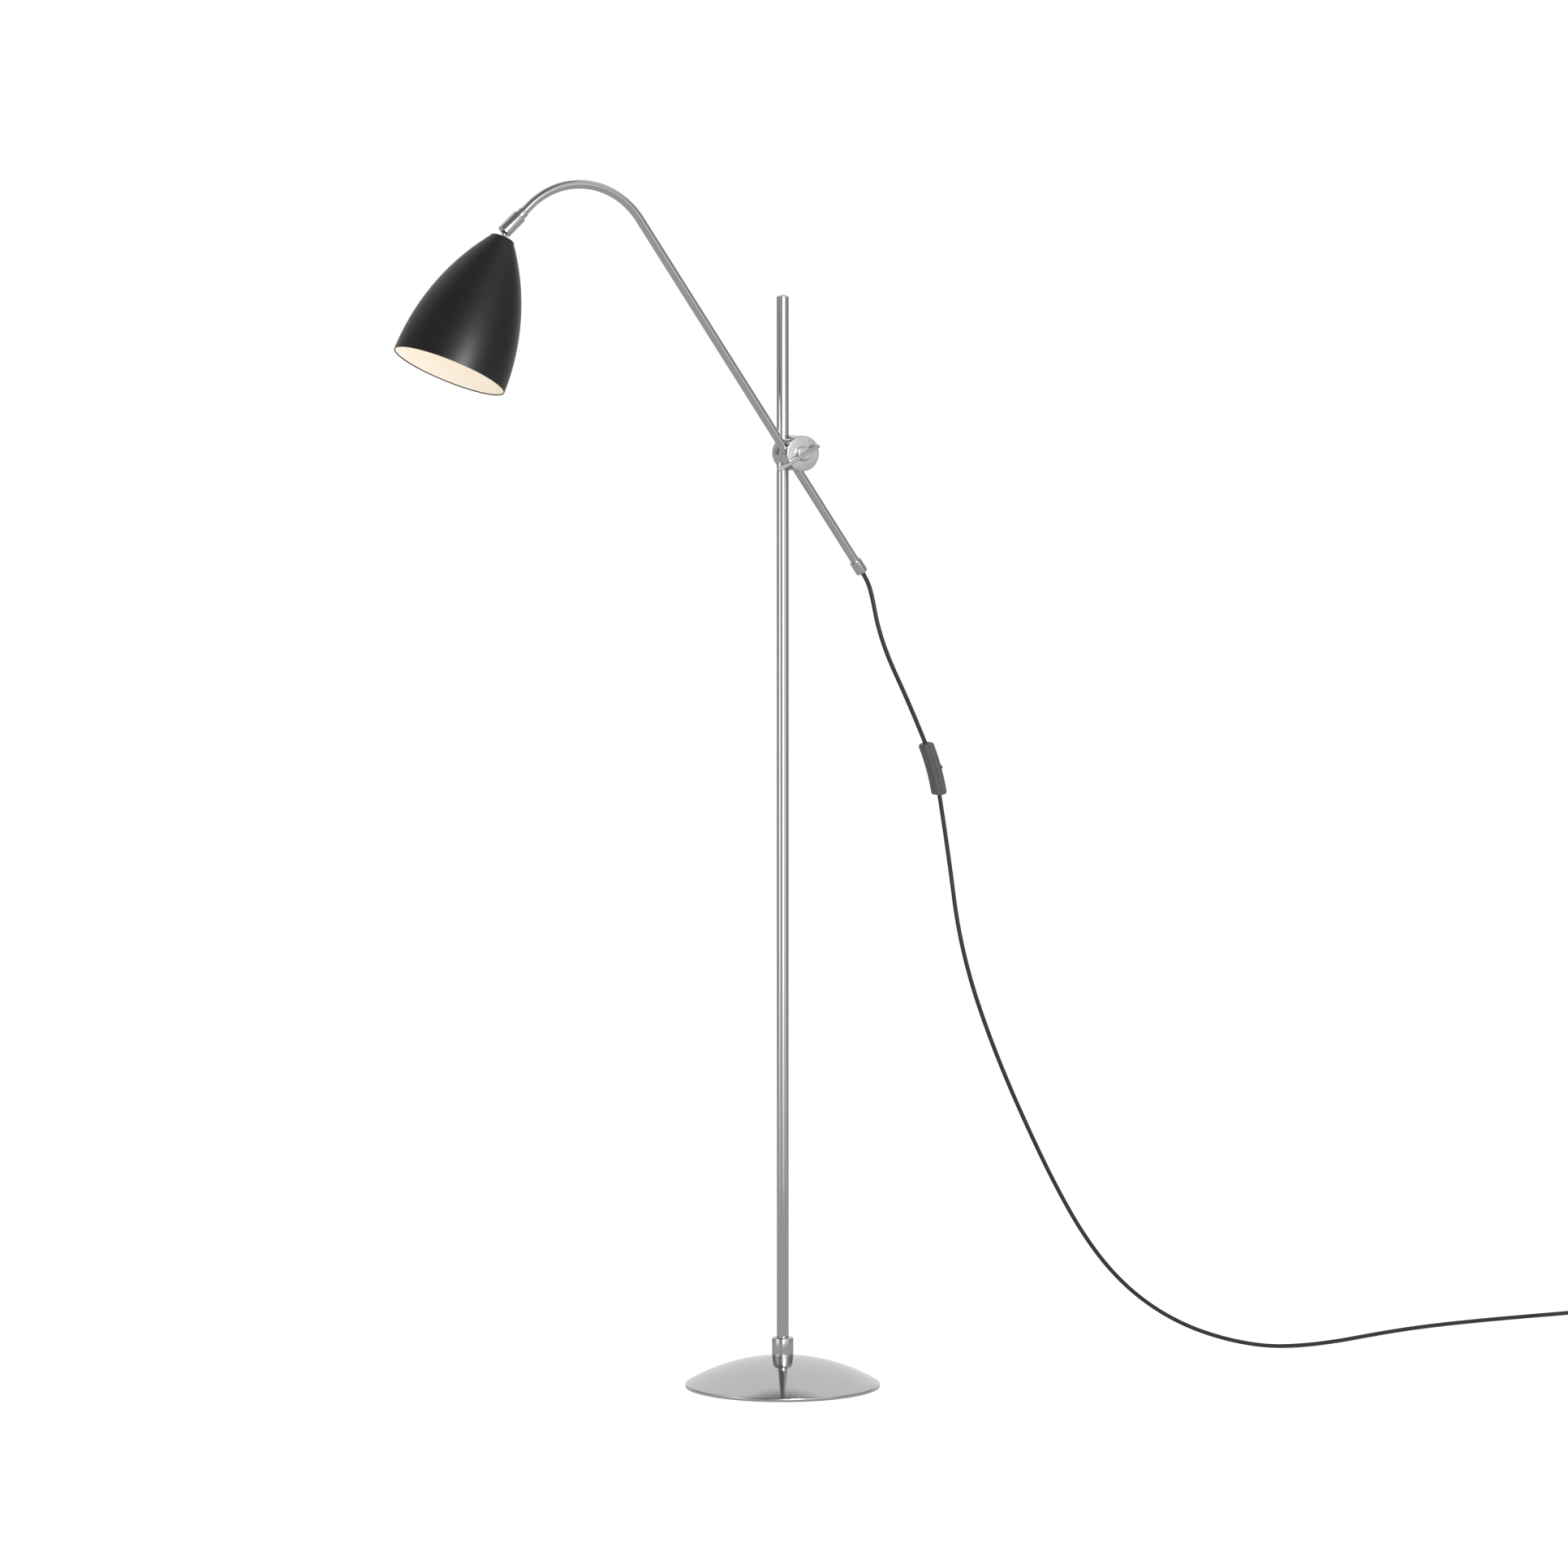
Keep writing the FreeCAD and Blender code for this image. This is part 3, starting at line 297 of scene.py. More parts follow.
# %% Moulded and drawn plastics
def moulded(name, tone, grain=0.0004, depth=0.00002, gloss=0.45):
    finish = Finish(name, Metallic=0.0, IOR=1.48)
    cells = finish.node("TexVoronoi", {"feature": "SMOOTH_F1"}, {
        "Vector": finish.where(), "Scale": 1.0 / grain, "Smoothness": 0.4})
    cloud = finish.noise(0.012, 3.0, 0.6)
    light = [value * 1.35 + 0.002 for value in tone]
    finish.set(Base_Color=finish.mix(cloud, tone, light))
    finish.set(Roughness=cloud * 0.16 + (gloss - 0.08))
    finish.bump(cells * 0.7 + cloud * 0.3, depth)
    return finish.material


def sheath(name, tone):
    """Soft PVC: smooth, with a slight wave left by the extruder and dust in its gloss."""
    finish = Finish(name, Metallic=0.0, IOR=1.5)
    dust = finish.noise(0.004, 4.0, 0.65)
    wave = finish.noise(0.011, 1.0)
    light = [value * 1.6 + 0.004 for value in tone]
    finish.set(Base_Color=finish.mix(dust ** 2, tone, light))
    finish.set(Roughness=dust * 0.22 + 0.27)
    finish.bump(wave * 0.8 + dust * 0.2, 0.00003)
    return finish.material


def plain_metal(name, tone, gloss, grain=0.0006, depth=0.000008):
    finish = Finish(name, Metallic=1.0)
    brushed = finish.noise(grain, 3.0, 0.6, finish.stretched((1.0, 1.0, 0.12)))
    stain = finish.noise(0.008, 3.0, 0.6)
    dark = [value * 0.72 for value in tone]
    finish.set(Base_Color=finish.mix(stain, dark, tone))
    finish.set(Roughness=brushed * 0.16 + (gloss - 0.06))
    finish.bump(brushed, depth)
    return finish.material


def casting():
    finish = Finish("grey_casting", Metallic=0.6, IOR=1.6)
    lumps = finish.noise(0.003, 5.0, 0.65)
    finish.set(Base_Color=finish.mix(lumps, (0.06, 0.058, 0.056), (0.17, 0.165, 0.16)))
    finish.set(Roughness=lumps * 0.2 + 0.6)
    finish.bump(lumps, 0.0004)
    return finish.material


def opal_bulb():
    finish = Finish("opal_bulb", Metallic=0.0, IOR=1.5, Emission_Strength=0.5)
    cloud = finish.noise(0.01, 2.0)
    finish.set(Base_Color=finish.mix(cloud, (0.93, 0.91, 0.86), (0.96, 0.95, 0.91)))
    finish.set(Emission_Color=finish.mix(cloud, (1.0, 0.93, 0.82), (1.0, 0.96, 0.88)))
    finish.set(Roughness=cloud * 0.1 + 0.28)
    return finish.material


SWITCH_GREY = moulded("switch_moulding", (0.055, 0.055, 0.057), 0.0005, 0.00002, 0.5)
BLACK_PLASTIC = moulded("black_moulding", (0.022, 0.022, 0.023), 0.0004, 0.000015, 0.42)
NYLON = moulded("natural_nylon", (0.30, 0.30, 0.29), 0.0006, 0.00001, 0.5)
FIBRE = moulded("fibre_board", (0.16, 0.06, 0.035), 0.0007, 0.00003, 0.7)
RUBBER = moulded("foot_rubber", (0.028, 0.027, 0.026), 0.0008, 0.00006, 0.75)
SHEATH = sheath("cord_sheath", (0.011, 0.011, 0.0115))
ZINC = plain_metal("zinc_plate", (0.50, 0.51, 0.52), 0.36)
SPRING = plain_metal("spring_steel", (0.24, 0.24, 0.27), 0.34)
BLACK_STEEL = plain_metal("blackened_steel", (0.06, 0.06, 0.065), 0.42)
BRASS = plain_metal("brass", (0.62, 0.44, 0.19), 0.3)
NICKEL = plain_metal("nickel_plate", (0.52, 0.50, 0.46), 0.22)
IRON = casting()
OPAL = opal_bulb()
print("finishes:", len(bpy.data.materials))


# %% [markdown]
# ## Turned pieces
# A lathe turns a drawn outline about an axis. Sharp corners on real parts are always broken a little,
# so the outline's corners are rounded before it is turned: that thin round is what catches the light.

# %% Outline helpers
def softened(points, radius, steps=4):
    """The outline with every inner corner rounded. A point may carry its own radius as a third value."""
    out = [Vector(points[0][:2])]
    for before, corner, after in zip(points, points[1:], points[2:]):
        own = corner[2] if len(corner) > 2 else radius
        b, c, a = (Vector(p[:2]) for p in (before, corner, after))
        near, far = (b - c), (a - c)
        if own <= 0 or near.length < 1e-9 or far.length < 1e-9:
            out.append(c)
            continue
        half = near.angle(far) / 2
        if half > math.radians(86):
            out.append(c)
            continue
        trim = min(own / math.tan(half), near.length * 0.48, far.length * 0.48)
        start, end = c + near.normalized() * trim, c + far.normalized() * trim
        for step in range(steps + 1):
            t = step / steps
            out.append(start * (1 - t) ** 2 + c * 2 * t * (1 - t) + end * t ** 2)
    out.append(Vector(points[-1][:2]))
    return out


def bow(radius, centre, start, end, steps):
    """Points on a circle in the outline's plane, by angle in degrees from +r towards +z."""
    angles = [math.radians(start + (end - start) * n / steps) for n in range(steps + 1)]
    return [(centre[0] + radius * math.cos(a), centre[1] + radius * math.sin(a), 0) for a in angles]


def new_piece(name, mesh_maker, finishes, sharp=35.0):
    """Link a mesh as a piece, smooth but for edges sharper than an angle."""
    mesh = bpy.data.meshes.new(name)
    work = bmesh.new()
    mesh_maker(work)
    bmesh.ops.remove_doubles(work, verts=work.verts, dist=1e-7)
    bmesh.ops.recalc_face_normals(work, faces=work.faces)
    work.to_mesh(mesh)
    work.free()
    for finish in finishes:
        mesh.materials.append(finish)
    mesh.shade_smooth()
    mesh.set_sharp_from_angle(angle=math.radians(sharp))
    piece = bpy.data.objects.new(name, mesh)
    bpy.context.scene.collection.objects.link(piece)
    return piece


def turn(work, outline, where, sides=96, closed=False):
    """Turn an outline of (radius, height) about local Z. A closed outline makes a hollow piece."""
    rings = []
    for r, z in (p[:2] for p in outline):
        if r < 1e-7:
            rings.append([work.verts.new(where @ Vector((0, 0, z)))] * sides)
        else:
            spins = [math.radians(360.0 * n / sides) for n in range(sides)]
            rings.append([work.verts.new(where @ Vector((r * math.cos(a), r * math.sin(a), z))) for a in spins])
    pairs = list(zip(rings, rings[1:]))
    if closed:
        pairs.append((rings[-1], rings[0]))
    for low, high in pairs:
        for n in range(sides):
            m = (n + 1) % sides
            corners = [low[n], low[m], high[m], high[n]]
            corners = [v for k, v in enumerate(corners) if v not in corners[:k]]
            if len(corners) > 2:
                work.faces.new(corners)


def lathe(name, outline, where, finishes, body, nodes=(), sides=96, closed=True, corner=0.0003):
    """A turned piece that rides on a body and stands for some frame nodes."""
    points = [(p[0] * MM, p[1] * MM, *(v * MM for v in p[2:])) for p in outline]
    if closed:
        middle = tuple((Vector(points[0][:2]) + Vector(points[-1][:2])) / 2)
        points = [(*middle, 0), *points, (*middle, 0)]
    points = softened(points, corner)
    if closed:
        points = points[:-1]
    piece = new_piece(name, lambda work: turn(work, points, where, sides, closed), finishes)
    return fit(piece, body, nodes)


def fit(piece, body, nodes=()):
    """Say what the piece rides on and what it stands for."""
    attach(piece, body)
    if nodes:
        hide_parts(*nodes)
    return piece


def settle(piece):
    """Keep what the modifiers make of a piece as its own mesh."""
    graph = bpy.context.evaluated_depsgraph_get()
    piece.data = bpy.data.meshes.new_from_object(piece.evaluated_get(graph))
    piece.modifiers.clear()
    piece.data.shade_smooth()
    piece.data.set_sharp_from_angle(angle=math.radians(30))
    return piece


def combine(piece, other, operation):
    """Work one closed mesh on another, and drop the second."""
    step = piece.modifiers.new(operation, "BOOLEAN")
    step.operation, step.object, step.solver = operation, other, "EXACT"
    settle(piece)
    bpy.data.objects.remove(other)
    return piece


def cut_with(piece, cutter):
    return combine(piece, cutter, "DIFFERENCE")


def join_with(piece, other):
    return combine(piece, other, "UNION")


def bar_cutter(radius, length, where, sides=64):
    """A plain round bar along local Z, centred, used only for cutting."""
    outline = [(0, -length / 2), (radius, -length / 2), (radius, length / 2), (0, length / 2)]
    return new_piece("cutter", lambda work: turn(work, outline, where, sides), [])


def slab(work, lows, highs, where):
    """An upright box between two corners, in a place."""
    spots = [Vector((x, y, z)) for x in (lows[0], highs[0]) for y in (lows[1], highs[1])
             for z in (lows[2], highs[2])]
    v = [work.verts.new(where @ spot) for spot in spots]
    for corners in ((0, 1, 3, 2), (4, 6, 7, 5), (0, 4, 5, 1), (2, 3, 7, 6), (0, 2, 6, 4), (1, 5, 7, 3)):
        work.faces.new([v[k] for k in corners])


# %% [markdown]
# ## The foot
# A spun steel cover over a cast weight. The cover is one shallow dome with an upright edge, so it is
# drawn as one arc, and its rolled lip and seat are only small roundings.

# %% Dome, pad and what ties the pole to it
BASE_R, EDGE_Z, DOME_Z = 112.5, 4.0, 35.0
SEAT_R = 13.0
DOME_ARC = (BASE_R ** 2 + (DOME_Z - EDGE_Z) ** 2) / (2 * (DOME_Z - EDGE_Z))
POLE_R, POLE_TOP = 7.0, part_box("pole")[1].z / MM
SEAT_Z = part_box("pole")[0].z / MM


def dome_height(radius, inside=0.0):
    return DOME_Z - DOME_ARC + math.sqrt((DOME_ARC - inside) ** 2 - radius ** 2)


def dome_side(start, end, steps, inside=0.0):
    spans = [start + (end - start) * n / steps for n in range(steps + 1)]
    return [(r, dome_height(r, inside), 0) for r in spans]


def make_foot():
    wall = 1.5
    outer = [(BASE_R - wall, 0.8), (BASE_R, 0.8, 0.5), (BASE_R, EDGE_Z, 0.9)]
    outer += dome_side(BASE_R - 1.5, SEAT_R + 0.6, 60)
    outer += [(SEAT_R, SEAT_Z, 0.4), (5.1, SEAT_Z, 0.1), (5.1, SEAT_Z - wall, 0.1), (SEAT_R, SEAT_Z - wall, 0)]
    outer += dome_side(SEAT_R + 1, BASE_R - wall - 0.5, 30, wall)[1:]
    cover = lathe("foot_cover", outer, Matrix(), [CHROME], "stand", ["base_dome"], 192)
    pad_r = BASE_R - 3.0
    grooves = [(0.0, 0), (60.0, 0), (60.5, 0.5), (63.0, 0.5), (63.5, 0), (pad_r - 8, 0), (pad_r - 7.5, 0.5)]
    pad = grooves + [(pad_r - 5, 0.5), (pad_r - 4.5, 0), (pad_r, 0, 0.5), (pad_r, 1.6, 0.2), (0.0, 1.6)]
    lathe("foot_pad", pad, Matrix(), [RUBBER], "stand", ["base_pad"], 160, closed=False)
    return cover


make_foot()


# %% [markdown]
# ## The pole
# One long tube with a low domed plug in its top and a bevelled ring at its foot. Rings of points along
# the tube keep its long faces from getting too thin.

# %% Pole, cap and collar
def make_pole():
    bore = 5.5
    tube = [(bore, SEAT_Z), (POLE_R, SEAT_Z, 0.2), (POLE_R, POLE_TOP, 0.25), (bore, POLE_TOP, 0.25)]
    outline = tube[:2] + [(POLE_R, z, 0) for z in (SEAT_Z + 200, SEAT_Z + 600, POLE_TOP - 200)] + tube[2:]
    lathe("pole_tube", outline, Matrix(), [CHROME], "stand", ["pole"], 96)
    cap = [(0, POLE_TOP - 12), (bore - 0.1, POLE_TOP - 12, 0.3), (bore - 0.1, POLE_TOP + 0.02, 0),
           (POLE_R, POLE_TOP + 0.02, 0.15), (POLE_R, POLE_TOP + 0.8, 0.3)]
    rise = 2.2
    arc = (POLE_R ** 2 + rise ** 2) / (2 * rise)
    for n in range(1, 9):
        r = POLE_R * (1 - n / 8) * 0.97
        cap.append((r, POLE_TOP + 3.0 - arc + math.sqrt(arc ** 2 - r ** 2), 0))
    lathe("pole_end_cap", cap, Matrix(), [CHROME], "stand", ["pole_cap"], 96, closed=False)
    top = SEAT_Z + 23.0
    collar = [(POLE_R + 0.02, SEAT_Z + 0.02), (12.5, SEAT_Z + 0.02, 0.25), (12.5, top - 1.2, 0.5),
              (11.3, top, 0.4), (POLE_R + 0.02, top, 0.2)]
    ring = lathe("pole_foot_collar", collar, Matrix(), [CHROME_WORN], "stand", ["pole_collar"], 96)
    hole = bar_cutter(2.05 * MM, 12 * MM, place((0, 13.3 * MM, (SEAT_Z + 11.5) * MM), (0, 1, 0), UP), 32)
    return cut_with(ring, hole)


make_pole()
print("foot and pole made")


# %% [markdown]
# ## The clamp
# Two short bars lie on one bolt. One is bored for the pole and the other for the arm, so turning one on
# the other tilts the arm. Their rims are polished and their faces are left satin from facing on a lathe,
# so each face gets its own finish by the way it looks.

# %% Satin face finish and a painter that goes by face
def satin_face():
    finish = Finish("satin_nickel_face", Metallic=1.0, IOR=2.0)
    blotch = finish.noise(0.006, 3.0, 0.6)
    grain = finish.noise(0.0004, 2.0, 0.5)
    finish.set(Base_Color=finish.mix(blotch, (0.50, 0.505, 0.505), (0.60, 0.605, 0.60)))
    finish.set(Roughness=blotch * 0.12 + grain * 0.06 + 0.15)
    finish.bump(grain * 0.5 + blotch * 0.5, 0.00001)
    return finish.material


SATIN = satin_face()


def repaint(piece, number, rule):
    """Give a material slot to every face whose centre and normal pass the rule."""
    for face in piece.data.polygons:
        if rule(face.center, face.normal):
            face.material_index = number
    return piece


def eased(piece, width, steps=2, angle=40.0):
    """Break every edge that is sharper than an angle, for good."""
    step = piece.modifiers.new("ease", "BEVEL")
    step.width, step.segments, step.limit_method = width, steps, "ANGLE"
    step.angle_limit, step.use_clamp_overlap = math.radians(angle), True
    return settle(piece)


# %% [markdown]
# ## The two discs
# Each disc is turned, then a bar and a thin saw are taken out of it, which leaves a split bore. The
# finish goes by the way a face looks: faces that look along the bolt are satin, all the rest is plate.

# %% Discs, with their bores and slits
CLAMP_AT = Vector((CLAMP_AXIS_AT.x, 0, CLAMP_AXIS_AT.z))
FORWARD = Vector((0, -1, 0))
CLAMP_PLACE = place(CLAMP_AT, FORWARD, UP)
CLAMP_R = 20.25


def make_disc(name, low, high, bore, bore_place, body, node):
    round_edge = 0.9
    outline = [(3.0, low), (CLAMP_R, low, round_edge), (CLAMP_R, high, round_edge), (3.0, high)]
    disc = lathe(name, outline, CLAMP_PLACE, [CHROME, SATIN], body, [node], 128, corner=0.0)
    cut_with(disc, bar_cutter(bore * MM, 60 * MM, bore_place, 72))
    slit = (low - 1, (low + high) / 2) if node == "arm_block" else ((low + high) / 2, high + 1)
    middle = bore_place.translation
    half = 0.5
    saw = new_piece("saw", lambda work: slab(
        work, (-half * MM, -slit[1] * MM, -30 * MM), (half * MM, -slit[0] * MM, 30 * MM),
        place((middle.x, 0, middle.z), bore_place.col[2].xyz, (0, 1, 0))), [])
    cut_with(disc, saw)
    return repaint(disc, 1, lambda centre, normal: abs(normal.y) > 0.97)


rear_disc = make_disc("clamp_disc_rear", -10.0, 10.0, 7.7, place((0, 0, CLAMP_AT.z)),
                      "pole_clamp", "pole_block")
front_disc = make_disc("clamp_disc_front", 10.85, 30.0, 5.7, ARM_PLACE, "arm_clamp", "arm_block")
print("discs:", len(rear_disc.data.polygons), len(front_disc.data.polygons), "faces")


# %% [markdown]
# ## The lever
# The bolt ends in a round hub with a flat bar standing on edge across it. A quarter turn loosens both
# discs. The bar is drawn flat, given thickness and its edges broken, and the hub is joined to it.

# %% Lever, washer and bolt head
def thick_shape(name, corners, low, high, where, finishes):
    """A flat outline in the local XY plane, given thickness along local Z."""
    def work_it(work):
        bottom = [work.verts.new(where @ Vector((x, y, low))) for x, y in corners]
        top = [work.verts.new(where @ Vector((x, y, high))) for x, y in corners]
        work.faces.new(bottom)
        work.faces.new(top)
        for n in range(len(corners)):
            m = (n + 1) % len(corners)
            work.faces.new((bottom[n], bottom[m], top[m], top[n]))
    return new_piece(name, work_it, finishes)


def make_lever():
    angle = math.radians(28.4)
    upward = Vector((-math.sin(angle), 0, math.cos(angle)))
    where = place(CLAMP_AT, FORWARD, upward)
    half, long_end, short_end = 2.0, -39.0, 18.5
    corners = [(short_end, -half), (short_end, half), (long_end + half, half)]
    corners += [(long_end + half - half * math.sin(t), half * math.cos(t))
                for t in (math.pi * n / 12 for n in range(1, 12))]
    corners.append((long_end + half, -half))
    corners = [(x * MM, y * MM) for x, y in corners]
    bar = thick_shape("bar", corners, 32.05 * MM, 39.05 * MM, where, [CHROME_WORN])
    eased(bar, 0.45 * MM, 3)
    hub = [(0, 30.55), (8.5, 30.55, 0.5), (8.5, 35.55, 0.8), (0, 35.55)]
    lever = lathe("clamp_lever_bar", hub, CLAMP_PLACE, [CHROME_WORN], "lever", ["clamp_lever"],
                  96, closed=False)
    join_with(lever, bar)
    cut_with(lever, bar_cutter(3.05 * MM, 9.5 * MM, place(CLAMP_AT + FORWARD * 30.55 * MM, FORWARD, UP)))
    return lever


lever = make_lever()
print("lever:", len(lever.data.polygons), "faces")


# %% [markdown]
# ## The hooked arm
# The arm is one tube: straight, bent round a former through a little more than a right angle, and
# straight again where the neck turns on it. A ring of points is carried along the middle line, each
# turned from the last by the least it can be, so that the tube does not twist.

# %% A tube along a path
def rings_along(points):
    """A frame at each point of a path: (point, side, other side), carried along without twist."""
    frames = []
    side = None
    for n, point in enumerate(points):
        before, after = points[max(n - 1, 0)], points[min(n + 1, len(points) - 1)]
        along = (after - before).normalized()
        if side is None:
            side = along.orthogonal().normalized() if abs(along.y) > 0.9 else Vector((0, 1, 0))
        side = (side - along * side.dot(along)).normalized()
        frames.append((point, side, along.cross(side)))
    return frames


def tube_mesh(work, frames, radius, sides=48, bore=None, lip=0.0):
    """Skin a path with rings. With a bore it is a pipe with eased lips, otherwise a solid bar."""
    def ring(frame, reach):
        point, u, v = frame
        spins = [math.tau * k / sides for k in range(sides)]
        return [work.verts.new(point + u * (math.cos(a) * reach) + v * (math.sin(a) * reach)) for a in spins]

    rings = [ring(frame, radius) for frame in frames]
    if bore:
        rings = [ring(frames[0], radius - lip), *rings[1:-1], ring(frames[-1], radius - lip)]
        rings += [ring(frame, bore) for frame in frames[::-1]]
        rings.append(rings[0])
    for low, high in zip(rings, rings[1:]):
        for n in range(sides):
            m = (n + 1) % sides
            work.faces.new((low[n], low[m], high[m], high[n]))
    if not bore:
        work.faces.new(rings[0])
        work.faces.new(rings[-1])


def arm_path():
    """Middle line of the arm, from its lower end to the end inside the neck."""
    below, above, bend, sweep, run = 155.6, 333.3, 90.0, 98.2, 22.0
    lip = 0.3
    spots = [(0, -below), (0, -below + lip)]
    spots += [(0, -below + (above + below) * n / 12) for n in range(1, 12)]
    for n in range(73):
        a = math.radians(sweep * n / 72)
        spots.append((bend * (math.cos(a) - 1), above + bend * math.sin(a)))
    a = math.radians(sweep)
    end = Vector(spots[-1])
    ahead = Vector((-math.sin(a), math.cos(a)))
    spots += [end + ahead * step for step in (run * 0.5, run - lip, run)]
    return [ARM_PLACE @ Vector((x * MM, 0, z * MM)) for x, z in spots]


def make_arm():
    frames = rings_along(arm_path())
    arm = new_piece("arm_hooked_tube", lambda work: tube_mesh(
        work, frames, 5.0 * MM, 64, 3.8 * MM, 0.3 * MM), [CHROME])
    fit(arm, "arm", ["arm_tube"])
    ends = [(5.02, -158.6), (7.0, -158.6, 0.6), (7.0, -142.6, 0.6), (5.02, -142.6, 0.2)]
    lathe("arm_foot_collar", ends, ARM_PLACE, [CHROME_WORN], "arm", ["arm_end_collar"], 72)
    plug = [(2.5, -159.8), (4.3, -159.8, 0.5), (4.95, -158.6, 0.2), (4.95, -155.65), (2.5, -155.65)]
    lathe("arm_foot_grommet", plug, ARM_PLACE, [BLACK_PLASTIC], "arm", ["cord_grommet"], 64)
    return arm


arm = make_arm()
print("arm:", len(arm.data.vertices), "points")


# %% [markdown]
# ## Neck and ball joint
# A ferrule is fixed on the tube's end and a slotted cup turns behind it. The ball at the top of the
# shade's stem sits in the cup's mouth, and the slot lets the stem swing far over to one side.

# %% Ferrule, slotted cup and ball stud
def make_neck():
    ferrule = [(5.02, -29.95), (6.15, -29.95, 0.3), (6.15, -22.35, 0.3), (5.02, -22.35)]
    lathe("neck_ring", ferrule, NECK_PLACE, [CHROME_WORN], "arm", ["neck_ferrule"], 72)
    cup = [(5.05, -22.3), (8.0, -22.3, 0.45), (8.0, 4.0, 0.45), (4.67, 4.0, 0.1)]
    cup += bow(6.15, (0, 0), 38.0, 2.0, 8) + [(6.15, 0, 0), (6.15, -19.3), (5.05, -19.3)]
    socket = lathe("neck_slotted_cup", cup, NECK_PLACE, [CHROME], "neck", ["neck_socket"], 96)
    width = 2.7
    slot = new_piece("saw", lambda work: slab(
        work, (-9 * MM, -width * MM, 0), (0, width * MM, 6 * MM), NECK_PLACE), [])
    side = NECK_PLACE.to_3x3() @ Vector((-1, 0, 0))
    end_place = place(NECK_PLACE.translation + side * 4.5 * MM, side, NECK_ALONG)
    round_end = bar_cutter(width * MM, 9 * MM, end_place)
    cut_with(socket, join_with(slot, round_end))
    ball = [(1.4, -5.9)] + bow(6.1, (0, 0), -76.0, 66.0, 36)
    ball += [(2.4, 5.7, 0.5), (2.4, 8.2, 0.25), (5.5, 8.6, 0.2), (5.5, 10.0, 0), (2.4, 10.0, 0)]
    ball += [(2.4, 16.8), (1.4, 16.8)]
    lathe("ball_and_stem", ball, HEAD_PLACE, [CHROME], "head", ["ball_stud"], 96)
    return socket


make_neck()


# %% [markdown]
# ## The shade
# The shade is spun from one disc of thin steel, so its wall has one thickness everywhere, it is black
# outside and white inside, and its free edge shows the wall. It is turned as one closed skin and the
# inner side gets the white finish, which carries a painted glow.

# %% Shade, lampholder and bulb
SHADE_TOP, SHADE_L, SHADE_R, SHADE_ARC, SHADE_WALL = 10.0, 163.0, 66.0, 275.0, 1.2
EDGE_BLACK = 1.2


def shade_side(z):
    rest = SHADE_TOP + SHADE_L - z
    return SHADE_R - SHADE_ARC + math.sqrt(SHADE_ARC ** 2 - rest ** 2)


def make_shade():
    mouth, wall = SHADE_TOP + SHADE_L, SHADE_WALL
    start = SHADE_TOP + 3.0
    heights = [start + (mouth - start) * n / 72 for n in range(73)]
    neck = shade_side(start)
    outside = [(2.5, SHADE_TOP, 0), (neck - 2.6, SHADE_TOP, 0.4), (neck - 0.8, SHADE_TOP + 0.95, 0.9)]
    outside += [(shade_side(z), z, 0) for z in heights]
    inside = [(shade_side(z) - wall, z, 0) for z in [mouth, mouth - EDGE_BLACK, *heights[-2::-1]]]
    inside[0] = (SHADE_R - wall + 0.1, mouth, 0.4)
    outside[-1] = (SHADE_R, mouth, 0.5)
    inside[-1] = (neck - wall, start + 0.4, 1.0)
    inside += [(neck - 2.6 - wall / 2, SHADE_TOP + wall, 0.6), (2.5, SHADE_TOP + wall, 0)]
    # The inner skin's finish glows by itself: painted light in place of the bulb's light on it.
    piece = lathe("shade_spun", outside + inside, HEAD_PLACE, [PAINT, GLOW_PAINTED_ENAMEL], "head", ["shade"],
                  192, corner=0.0)
    back = HEAD_PLACE.inverted()
    turned_back = back.to_3x3()

    def inner(centre, normal):
        spot, way = back @ centre, turned_back @ normal
        away = Vector((spot.x, spot.y, 0)).normalized()
        outward = way.dot(away)
        on_edge = spot.z > (mouth - EDGE_BLACK) * MM
        return (outward < -0.3 or way.z > 0.6) and not on_edge and spot.z > (SHADE_TOP + 0.6) * MM
    return repaint(piece, 1, inner)


shade = make_shade()


def make_bulb():
    low = SHADE_TOP + SHADE_WALL
    cap = [(2.45, low + 0.05), (10.0, low + 0.05, 0.6), (10.0, low + 5.5, 0.4), (2.45, low + 5.5)]
    lathe("holder_cap_nut", cap, HEAD_PLACE, [BLACK_PLASTIC], "head", ["lampholder_cap"], 96)
    low += 5.6
    high = low + 41.0
    cup = [(2.45, low), (12.0, low, 0.3), (13.5, low + 1.5, 0.5)]
    for rib in range(5):
        z = low + 8 + rib * 4.2
        cup += [(13.5, z, 0.2), (12.9, z + 0.3, 0.2), (12.9, z + 1.5, 0.2), (13.5, z + 1.8, 0.2)]
    cup += [(13.5, high - 1, 0.6), (12.5, high, 0.5), (7.2, high, 0.4), (7.2, high - 25), (2.45, high - 25)]
    lathe("holder_ribbed_cup", cup, HEAD_PLACE, [BLACK_PLASTIC], "head", ["lampholder"], 128)
    base, globe, ball_z = 8.9, 22.5, high + 18.0 + 22.5 * 0.7
    wall = 0.8
    reach = math.degrees(math.asin((base + 4) / globe))
    outer = [(5.4, high, 0), (base, high, 0.8), (base, high + 6, 6.0)]
    outer += bow(globe, (0, ball_z), -(90 - reach), 88.0, 40)
    inner = bow(globe - wall, (0, ball_z), 88.0, -(90 - reach), 32)
    glass = outer + [(0, ball_z + globe, 0), (0, ball_z + globe - wall, 0)] + inner
    glass += [(base - wall, high + 6, 6.0), (base - wall, high + 1, 0), (5.4, high + 1, 0)]
    return lathe("bulb_opal_globe", glass, HEAD_PLACE, [OPAL], "head", ["bulb_glass"], 96)


make_bulb()
print("head made round", [round(v, 3) for v in BALL_AT])


